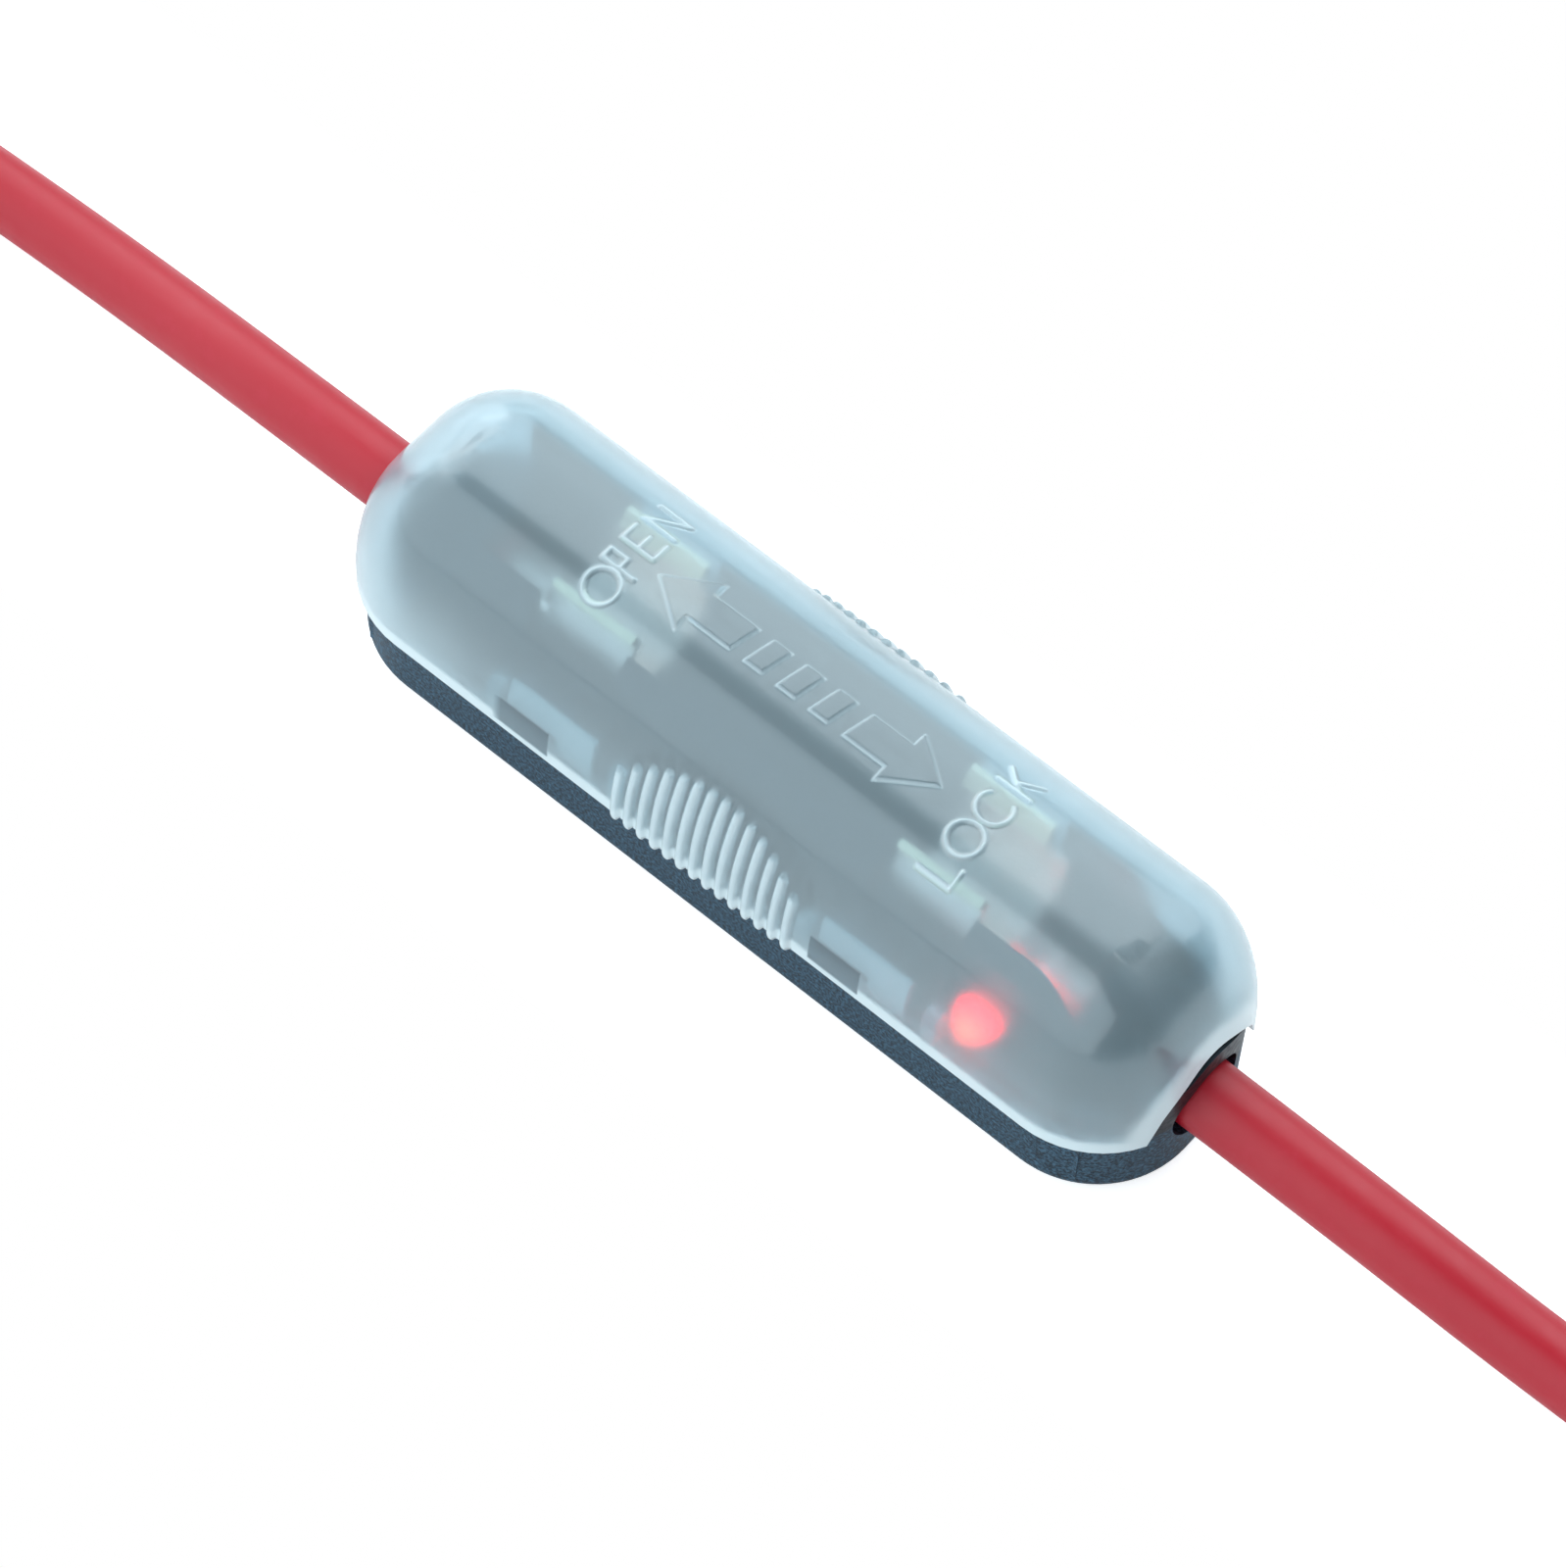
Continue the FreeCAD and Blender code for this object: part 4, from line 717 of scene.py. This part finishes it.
# %% Blocks on the inside wall
LUGS = (-14.0, 9.8)
LEDGE_FACE = 6.45
SUNK = 0.08
BLOCK_ROWS = 7
LEDGE = ((-2.2, 1.9), (RIM, RIM + 0.4), None)
STOPS = [((-3.2, -2.2), (RIM, 8.8), None), ((6.2, 7.2), (RIM, 8.8), None)]
PADS = [((-1.6, 4.9), (8.2, 9.9), 0.22), ((2.2, 4.9), (6.9, 8.2), 0.12)]


def block(x_range, z_range, side, thickness=None):
    """A block on the inside wall: of an even thickness, or out to the ledges' face."""
    tall = np.linspace(z_range[0], z_range[1], BLOCK_ROWS)
    wall_y = CORE_Y + np.interp(tall, profile(INSIDE)[2], profile(INSIDE)[1])
    face_y = wall_y - thickness if thickness else np.full(BLOCK_ROWS, LEDGE_FACE)
    ring = list(zip(wall_y + SUNK, tall)) + list(zip(face_y[::-1], tall[::-1]))
    first = len(points)
    for x in x_range:
        points.extend([(x, side * y, z) for y, z in ring])
    around = len(ring)
    for k in range(around):
        after = (k + 1) % around
        faces.append([first + k, first + after, first + around + after, first + around + k])
    for k in range(around // 2 - 1):
        for end in (0, around):
            faces.append([first + end + i for i in (k, k + 1, around - 2 - k, around - 1 - k)])


pad_points = []
for lug in LUGS:
    for side in (-1, 1):
        for (x_low, x_high), z_range, thickness in [LEDGE] + STOPS:
            block((lug + x_low, lug + x_high), z_range, side, thickness)
        pad_start = len(points)
        for (x_low, x_high), z_range, thickness in PADS:
            block((lug + x_low, lug + x_high), z_range, side, thickness)
        pad_points.extend(range(pad_start, len(points)))
print("points with the blocks:", len(points), "on pads:", len(pad_points))

# %% [markdown]
# ## Marks for the finish
# The cover's finish isn't the same all over, so the mesh carries three marks, each from 0 to 1: how
# milky it is on pads, with a painted highlight put into the same mark later on the signs, where it
# is polished (the inner face), and where a black lug stands close behind it. Marks on points slide
# along with the cover, and a finish that reads them can be baked like any other.

# %% Weld the cover
PAD_MILK = 0.8
PATCH_X, PATCH_Z = (-1.8, 2.0), (RIM + 0.5, 9.1)
WELD = 0.001
work = bmesh.new()
# One mark for the pads' milkiness and, on the signs, a painted highlight.
milk_and_highlight = work.verts.layers.float.new("milk_and_highlight")
polished = work.verts.layers.float.new("polished")
lug_behind = work.verts.layers.float.new("lug_behind")
verts = [work.verts.new(Vector(p) * MM) for p in points]
for index in pad_points:
    verts[index][milk_and_highlight] = PAD_MILK
for index in inner_face:
    verts[index][polished] = 1.0
for index in outer_face:
    x, y, z = points[index]
    over_lug = any(PATCH_X[0] < x - lug < PATCH_X[1] for lug in LUGS)
    if abs(y) > CORE_Y and over_lug and PATCH_Z[0] < z < PATCH_Z[1]:
        verts[index][lug_behind] = 1.0
for face in faces:
    work.faces.new([verts[i] for i in face])
bmesh.ops.remove_doubles(work, verts=work.verts, dist=WELD * MM)
bmesh.ops.recalc_face_normals(work, faces=work.faces)
open_edges = sum(1 for edge in work.edges if len(edge.link_faces) < 2)
shared_edges = sum(1 for edge in work.edges if len(edge.link_faces) > 2)
cover_mesh = bpy.data.meshes.new("cover_skin")
work.to_mesh(cover_mesh)
work.free()
print("cover:", len(cover_mesh.polygons), "faces, open edges:", open_edges)
print("edges at which a ledge and its stop meet:", shared_edges)

# %% [markdown]
# ## Raised signs
# The double arrow is a raised plate, cut by slanted bars, and the words are thin raised lines. Text
# objects or booleans would sit on the fine wall as loose pieces, so the wall itself is raised. The
# height over the cover is a rule of distance: full inside a shape, falling off over its bevelled
# edge. The words are drawn with round strokes, so each stroke is a distance to a line.

# %% Distances to lines and shapes


def to_line(spots, line):
    """Distance of each spot to a broken line."""
    nearest = np.full(len(spots), np.inf)
    for a, b in zip(line[:-1], line[1:]):
        a, b = np.array(a, float), np.array(b, float)
        share = np.clip((spots - a) @ (b - a) / max((b - a) @ (b - a), 1e-12), 0, 1)
        nearest = np.minimum(nearest, np.linalg.norm(spots - a - share[:, None] * (b - a), axis=1))
    return nearest


def within(spots, shape):
    """Depth inside a closed shape, negative outside."""
    inside = np.zeros(len(spots), bool)
    closed = shape + shape[:1]
    for (ax, ay), (bx, by) in zip(closed[:-1], closed[1:]):
        if ay == by:
            continue
        spans = (spots[:, 1] > min(ay, by)) & (spots[:, 1] <= max(ay, by))
        inside ^= spans & (spots[:, 0] < ax + (spots[:, 1] - ay) * (bx - ax) / (by - ay))
    depth = to_line(spots, closed)
    return np.where(inside, depth, -depth)


def bevel(depth, width):
    """Rises softly from 0 to 1 as depth goes from nothing to width."""
    share = np.clip(depth / width, 0, 1)
    return share * share * (3 - 2 * share)


SQUARE = [(-1, -1), (1, -1), (1, 1), (-1, 1)]
print("middle of a 2 mm square:", within(np.array([[0.0, 0.0]]), SQUARE)[0], "mm deep")

# %% Shapes of the arrow
# A head is given along x by its tip, its barbs, which lean a little, and the slanted cut in which
# its shaft ends. The bars between the heads are cut in the same way.
SLANT = 0.47
SHAFT, BARB = 1.1, 2.15
BARB_LEAN = (0.25, -0.1)
BAR = 1.39
HEADS = [(-11.05, -7.85, -4.72), (10.15, 6.95, 3.75)]
plates = []
for tip, barb, shaft_end in HEADS:
    upper_barb, lower_barb = barb + BARB_LEAN[0], barb + BARB_LEAN[1]
    plates.append([(tip, 0), (upper_barb, BARB), (upper_barb, SHAFT), (shaft_end + SLANT, SHAFT),
                   (shaft_end, -SHAFT), (lower_barb, -SHAFT), (lower_barb, -BARB)])
for bar_end in (-2.28, 0.19, 2.61):
    plates.append([(bar_end - BAR, -SHAFT), (bar_end, -SHAFT), (bar_end + SLANT, SHAFT),
                   (bar_end - BAR + SLANT, SHAFT)])
print("plates of the arrow:", len(plates))

# %% Shapes of the letters
# Each letter is a list of broken lines, in millimetres from its lower left corner. A word has the
# place of its baseline along x, and the place of each letter's left edge across.
CAP = 2.35
ROUND = 1.12
BOWL = 0.62
ARC_STEP = 9


def arc(centre, radius, start, end):
    """Points along an arc, its angles in degrees."""
    turns = [math.radians(a) for a in steps(start, end, ARC_STEP)]
    return [(centre[0] + radius * math.cos(t), centre[1] + radius * math.sin(t)) for t in turns]


LETTERS = {
    "O": [arc((ROUND, CAP / 2), ROUND, 0, 360)],
    "P": [[(0, 0), (0, CAP), (0.8, CAP)] + arc((0.8, CAP - BOWL), BOWL, 90, -90)
          + [(0, CAP - 2 * BOWL)]],
    "E": [[(1.25, CAP), (0, CAP), (0, 0), (1.25, 0)], [(0, CAP / 2), (1.1, CAP / 2)]],
    "N": [[(0, 0), (0, CAP), (1.5, 0), (1.5, CAP)]],
    "L": [[(0, CAP), (0, 0), (1.1, 0)]],
    "C": [arc((ROUND, CAP / 2), ROUND, 48, 312)],
    "K": [[(0, 0), (0, CAP)], [(1.3, CAP), (0, 0.85)], [(0.5, 1.4), (1.4, 0)]],
}
WORDS = [(-11.9, {"O": -3.72, "P": -1.2, "E": 0.55, "N": 2.45}),
         (14.4, {"L": -4.35, "O": -2.72, "C": -0.12, "K": 2.75})]
print("words:", ["".join(letters) for baseline, letters in WORDS])

# %% Find the points on top
UPWARD, SKIN_DEPTH = 0.3, 0.5
count = len(cover_mesh.vertices)
rest = np.zeros(count * 3)
cover_mesh.vertices.foreach_get("co", rest)
rest = rest.reshape(-1, 3) / MM
normals = np.zeros(count * 3)
cover_mesh.vertices.foreach_get("normal", normals)
normals = normals.reshape(-1, 3)
from_core = np.maximum(np.abs(rest[:, 1]) - CORE_Y, 0)
on_top = (normals[:, 2] > UPWARD) & (np.abs(rest[:, 0]) < FINE_X) & (from_core < FINE_FLANK)
on_top &= rest[:, 2] > oval(OUTSIDE, np.abs(rest[:, 1])) - SKIN_DEPTH
spots = rest[on_top, :2]
print("points on top:", len(spots))

# %% Raise the signs
# The margins widen each shape a little, because its bevel takes some of the width. Light catches
# the edges of a plate and the whole of a thin letter, so those get a painted highlight: they are
# marked pale, as the milky pads are.
STROKE, SIGN_EDGE = 0.27, 0.13
PLATE_MARGIN, STROKE_MARGIN = 0.03, 0.05
SIGN_HEIGHT, WORD_HEIGHT = 0.21, 0.16
# How pale the signs' painted highlight is.
SIGN_HIGHLIGHT = 0.58
height = np.zeros(len(spots))
highlight_line = np.zeros(len(spots))
for shape in plates:
    depth = within(spots, shape)
    height = np.maximum(height, SIGN_HEIGHT * bevel(depth + PLATE_MARGIN, SIGN_EDGE))
    highlight_line = np.maximum(highlight_line, bevel(SIGN_EDGE - np.abs(depth), SIGN_EDGE))
for baseline, letters in WORDS:
    for letter, left in letters.items():
        for stroke in LETTERS[letter]:
            line = [(baseline - v, left + u) for u, v in stroke]
            depth = STROKE / 2 + STROKE_MARGIN - to_line(spots, line)
            height = np.maximum(height, WORD_HEIGHT * bevel(depth, SIGN_EDGE))
            highlight_line = np.maximum(highlight_line, bevel(depth, SIGN_EDGE))
rest[on_top] += normals[on_top] * height[:, None]
cover_mesh.vertices.foreach_set("co", (rest * MM).ravel())
milk_and_highlight_values = np.zeros(count)
cover_mesh.attributes["milk_and_highlight"].data.foreach_get("value", milk_and_highlight_values)
milk_and_highlight_values[on_top] = SIGN_HIGHLIGHT * highlight_line
cover_mesh.attributes["milk_and_highlight"].data.foreach_set("value", milk_and_highlight_values)
cover_mesh.update()
print("raised:", int((height > 0.01).sum()), "points")

# %% [markdown]
# ## Grip ribs
# Fourteen upright ribs stand out of each flank, and their upper ends follow an arc. Loose bars laid
# on the flank would need its exact curve. Geometry Nodes raise the ribs out of the flank instead,
# by a rule for each point: which rib is nearest, how far is it across from its middle, and is it
# below the arc? The rule is a list of small sums. Each line names its result, then the sum, then
# what goes in: a number, an input of the tree or the result of a line above.

# %% The rule of the ribs
# Only where a point's normal leads away from the middle plane does it lie on the outer face.
ROUNDNESS = 0.3
OUTWARD = 0.5 * MM
RIB_RULE = [
    ("number", "SUBTRACT", "x", "First rib"),
    ("number", "DIVIDE", "number", "Pitch"),
    ("number", "ROUND", "number"),
    ("number", "MAXIMUM", "number", 0.0),
    ("last", "SUBTRACT", "Ribs", 1.0),
    ("number", "MINIMUM", "number", "last"),
    ("middle", "MULTIPLY_ADD", "number", "Pitch", "First rib"),
    ("off", "SUBTRACT", "x", "middle"),
    ("half", "MULTIPLY", "Rib width", 0.5),
    ("off", "DIVIDE", "off", "half"),
    ("off", "MULTIPLY", "off", "off"),
    ("radius squared", "MULTIPLY", "Arc radius", "Arc radius"),
    ("middle squared", "MULTIPLY", "middle", "middle"),
    ("rise", "SUBTRACT", "radius squared", "middle squared"),
    ("rise", "SQRT", "rise"),
    ("top", "ADD", "rise", "Arc middle"),
    ("over", "SUBTRACT", "z", "top"),
    ("over", "MAXIMUM", "over", 0.0),
    ("over", "DIVIDE", "over", "Rib height"),
    ("over", "MULTIPLY", "over", "over"),
    ("reach", "ADD", "off", "over"),
    ("dome", "SUBTRACT", 1.0, "reach"),
    ("dome", "MAXIMUM", "dome", 0.0),
    ("dome", "POWER", "dome", ROUNDNESS),
    ("outward", "MULTIPLY", "normal y", "y"),
    ("outward", "GREATER_THAN", "outward", OUTWARD),
    ("rib", "MULTIPLY", "dome", "outward"),
    ("push", "MULTIPLY", "rib", "Rib height"),
]
print("sums in the rule of the ribs:", len(RIB_RULE))

# %% The tree of the ribs
RIB_INPUTS = {"First rib": "NodeSocketFloat", "Ribs": "NodeSocketInt", "Pitch": "NodeSocketFloat",
              "Rib width": "NodeSocketFloat", "Rib height": "NodeSocketFloat",
              "Arc radius": "NodeSocketFloat", "Arc middle": "NodeSocketFloat"}


def rib_tree(name, material):
    """Raises ribs out of both flanks, and keeps how far each point is up its rib as ribbed."""
    tree, given = new_tree(name, RIB_INPUTS)
    position = add(tree, "GeometryNodeInputPosition").outputs[0]
    normal = add(tree, "GeometryNodeInputNormal").outputs[0]
    spot = add(tree, "ShaderNodeSeparateXYZ", {0: position}).outputs
    facing = add(tree, "ShaderNodeSeparateXYZ", {0: normal}).outputs
    known = {label: given[label] for label in RIB_INPUTS}
    known.update({"x": spot[0], "y": spot[1], "z": spot[2], "normal y": facing[1]})
    for result, operation, *terms in RIB_RULE:
        inputs = {index: known.get(term, term) for index, term in enumerate(terms)}
        known[result] = add(tree, "ShaderNodeMath", inputs, operation=operation).outputs[0]
    offset = add(tree, "ShaderNodeVectorMath", {0: normal, "Scale": known["push"]},
                 operation="SCALE")
    moved = add(tree, "GeometryNodeSetPosition", {"Geometry": given["Geometry"],
                                                  "Offset": offset.outputs[0]})
    marked = add(tree, "GeometryNodeStoreNamedAttribute", {
        "Geometry": moved.outputs[0], "Name": "ribbed", "Value": known["rib"]},
        data_type="FLOAT", domain="POINT")
    end_tree(tree, marked.outputs[0], material)
    return tree


print("sizes of the ribs that can be set:", list(RIB_INPUTS))

# %% [markdown]
# ## Frosted polycarbonate
# The cover is clear polycarbonate with a little white and blue in it. Its mould was matt outside and
# polished inside. Light gets through, but it is scattered at the outer face, so what lies close
# under the cover is nearly sharp and what lies deep is a blur. A volume of milk in the wall would be
# the real thing, but it is slow, so the outer face takes it on: where it is milky it lets less
# through and shows more of its own pale colour. It is milky at the rim and round the notches, where
# we look into the wall's cut edge, and on pads. On ribs and signs the same paler colour is a painted
# highlight, and at the OPEN end it is painted light, for the stronger light on that end. The
# frosting's real grain is a few hundredths of a millimetre, too fine to show, so it is drawn 0.3 mm
# across. A black lug nearly touches the wall from inside and shows through sharply. Frosting would
# blur it, so the outer face is darker there. Lamps shine through by way of a clear mix for shadow
# rays.

# %% Milky at the rim and round the notches
RIM_MILK = (RIM + 0.8, RIM + 1.6)
NOTCH_MILK = (NOTCH + 0.9, NOTCH + 2.2)
NOTCH_X = 26.0
frosted, tree, output = new_finish("frosted_polycarbonate")
place = add(tree, "ShaderNodeTexCoord").outputs["Object"]
where = add(tree, "ShaderNodeSeparateXYZ", {0: place}).outputs
at_rim = add(tree, "ShaderNodeMapRange", {0: where[2], 1: RIM_MILK[0] * MM, 2: RIM_MILK[1] * MM,
                                          3: 1.0, 4: 0.0}, interpolation_type="SMOOTHSTEP")
off_axis = add(tree, "ShaderNodeVectorMath", {0: place, 1: (0, 0, AXIS_HEIGHT * MM)},
               operation="SUBTRACT")
off_axis = add(tree, "ShaderNodeVectorMath", {0: off_axis.outputs[0], 1: (0, 1, 1)},
               operation="MULTIPLY")
off_axis = add(tree, "ShaderNodeVectorMath", {0: off_axis.outputs[0]}, operation="LENGTH")
by_notch = add(tree, "ShaderNodeMapRange", {0: off_axis.outputs["Value"], 1: NOTCH_MILK[0] * MM,
                                            2: NOTCH_MILK[1] * MM, 3: 1.0, 4: 0.0},
               interpolation_type="SMOOTHSTEP")
far_x = add(tree, "ShaderNodeMath", {0: where[0]}, operation="ABSOLUTE")
far_out = add(tree, "ShaderNodeMath", {0: far_x.outputs[0], 1: NOTCH_X * MM},
              operation="GREATER_THAN")
by_notch = add(tree, "ShaderNodeMath", {0: by_notch.outputs[0], 1: far_out.outputs[0]},
               operation="MULTIPLY")
reasons = [at_rim.outputs[0], by_notch.outputs[0]]
print("height of the milky rim:", RIM_MILK, "mm")

# %% Milky pads; painted highlight on signs, ribs; painted light at OPEN end; hardly inside; not over lugs
# The ribs' paler colour is a painted highlight.
RIB_HIGHLIGHT = 0.75
# The OPEN end is painted paler and less clear: painted light, for the stronger light on that end.
END_PAINTED_LIGHT = 0.5
END_LIGHT_X, END_LIGHT_Z = (-14.0, -28.0), (RIM, RIM + 9.0)
INSIDE_MILK = 0.1
pad_milk_and_sign_highlight = add(tree, "ShaderNodeAttribute", attribute_name="milk_and_highlight").outputs["Fac"]
ribbed = add(tree, "ShaderNodeAttribute", attribute_name="ribbed").outputs["Fac"]
rib_highlight = add(tree, "ShaderNodeMath", {0: ribbed, 1: RIB_HIGHLIGHT}, operation="MULTIPLY")
painted_end_light = add(tree, "ShaderNodeMapRange", {0: where[0], 1: END_LIGHT_X[0] * MM,
                                          2: END_LIGHT_X[1] * MM, 3: 0.0, 4: END_PAINTED_LIGHT},
             interpolation_type="SMOOTHSTEP")
painted_end_light = add(tree, "ShaderNodeMapRange", {0: where[2], 1: END_LIGHT_Z[0] * MM,
                                          2: END_LIGHT_Z[1] * MM, 3: painted_end_light.outputs[0], 4: 0.0},
             interpolation_type="SMOOTHSTEP")
reasons += [pad_milk_and_sign_highlight, rib_highlight.outputs[0], painted_end_light.outputs[0]]
milk_and_painted_light = reasons[0]
for reason in reasons[1:]:
    milk_and_painted_light = add(tree, "ShaderNodeMath", {0: milk_and_painted_light, 1: reason}, operation="MAXIMUM").outputs[0]

inner = add(tree, "ShaderNodeAttribute", attribute_name="polished").outputs["Fac"]
lug_near = add(tree, "ShaderNodeAttribute", attribute_name="lug_behind").outputs["Fac"]
outside = add(tree, "ShaderNodeMapRange", {0: inner, 1: 0.0, 2: 1.0, 3: 1.0, 4: INSIDE_MILK})
no_lug = add(tree, "ShaderNodeMath", {0: 1.0, 1: lug_near}, operation="SUBTRACT")
for part in (outside.outputs[0], no_lug.outputs[0]):
    milk_and_painted_light = add(tree, "ShaderNodeMath", {0: milk_and_painted_light, 1: part}, operation="MULTIPLY").outputs[0]
print("reasons to be milky:", len(reasons))

# %% Frosted cover material
FROST_GRAIN = 0.30
FROST_BITE = 0.22
MATT, POLISHED = 0.28, 0.05
CLEAR, MILKY = 0.80, 0.10
CLEARER_INSIDE = 0.18
spark = add(tree, "ShaderNodeTexNoise", {"Vector": place, "Scale": 1 / (FROST_GRAIN * MM),
                                         "Detail": 2.5, "Roughness": 0.6})
bite = add(tree, "ShaderNodeMapRange", {0: inner, 1: 0.0, 2: 1.0, 3: FROST_BITE, 4: 0.0})
relief = add(tree, "ShaderNodeBump", {"Height": spark.outputs[0], "Strength": bite.outputs[0],
                                      "Distance": 0.03 * MM})
gloss = add(tree, "ShaderNodeMapRange", {0: inner, 1: 0.0, 2: 1.0, 3: MATT, 4: POLISHED})
# Paler and less clear where milky, and where signs, ribs and the OPEN end carry painted highlight and
# painted light.
shade = add(tree, "ShaderNodeMix", {0: milk_and_painted_light, 6: paint("#C4DCE6"), 7: paint("#DCEAEE")},
            data_type="RGBA")
shade = add(tree, "ShaderNodeMix", {0: lug_near, 6: shade.outputs[2], 7: paint("#5A7888")},
            data_type="RGBA")
clear = add(tree, "ShaderNodeMapRange", {0: milk_and_painted_light, 1: 0.0, 2: 1.0, 3: CLEAR, 4: MILKY})
clear = add(tree, "ShaderNodeMath", {0: inner, 1: CLEARER_INSIDE, 2: clear.outputs[0]},
            operation="MULTIPLY_ADD", use_clamp=True)
skin = add(tree, "ShaderNodeBsdfPrincipled", {
    "Base Color": shade.outputs[2], "Roughness": gloss.outputs[0], "IOR": 1.5,
    "Transmission Weight": clear.outputs[0], "Normal": relief.outputs[0],
    "Coat Weight": 0.8, "Coat Roughness": 0.10})
path = add(tree, "ShaderNodeLightPath").outputs
open_air = add(tree, "ShaderNodeBsdfTransparent", {"Color": paint("#F2F6F4")})
mixed = add(tree, "ShaderNodeMixShader", {0: path["Is Shadow Ray"], 1: skin.outputs[0],
                                          2: open_air.outputs[0]})
tree.links.new(mixed.outputs[0], output.inputs["Surface"])
print("cover finish:", frosted.name)

# %% Finish the cover
SHARP = math.radians(75)
cover = bpy.data.objects.new("cover_frosted", cover_mesh)
bpy.context.scene.collection.objects.link(cover)
cover = grown(cover, rib_tree("grip_ribs", frosted), {
    "First rib": -6.65 * MM, "Ribs": 14, "Pitch": 1.0 * MM, "Rib width": 0.62 * MM,
    "Rib height": 0.30 * MM, "Arc radius": 8.6 * MM, "Arc middle": 5.1 * MM})
cover.data.shade_smooth()
cover.data.set_sharp_from_angle(angle=SHARP)
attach(cover, "cover")
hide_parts("cover")
print("cover:", sum(len(p.vertices) - 2 for p in cover.data.polygons), "triangles")

# %% [markdown]
# ## Finish
# View settings stay plain, so that colours print as they are written.

# %% Finish
bpy.context.scene.view_settings.view_transform = "Standard"
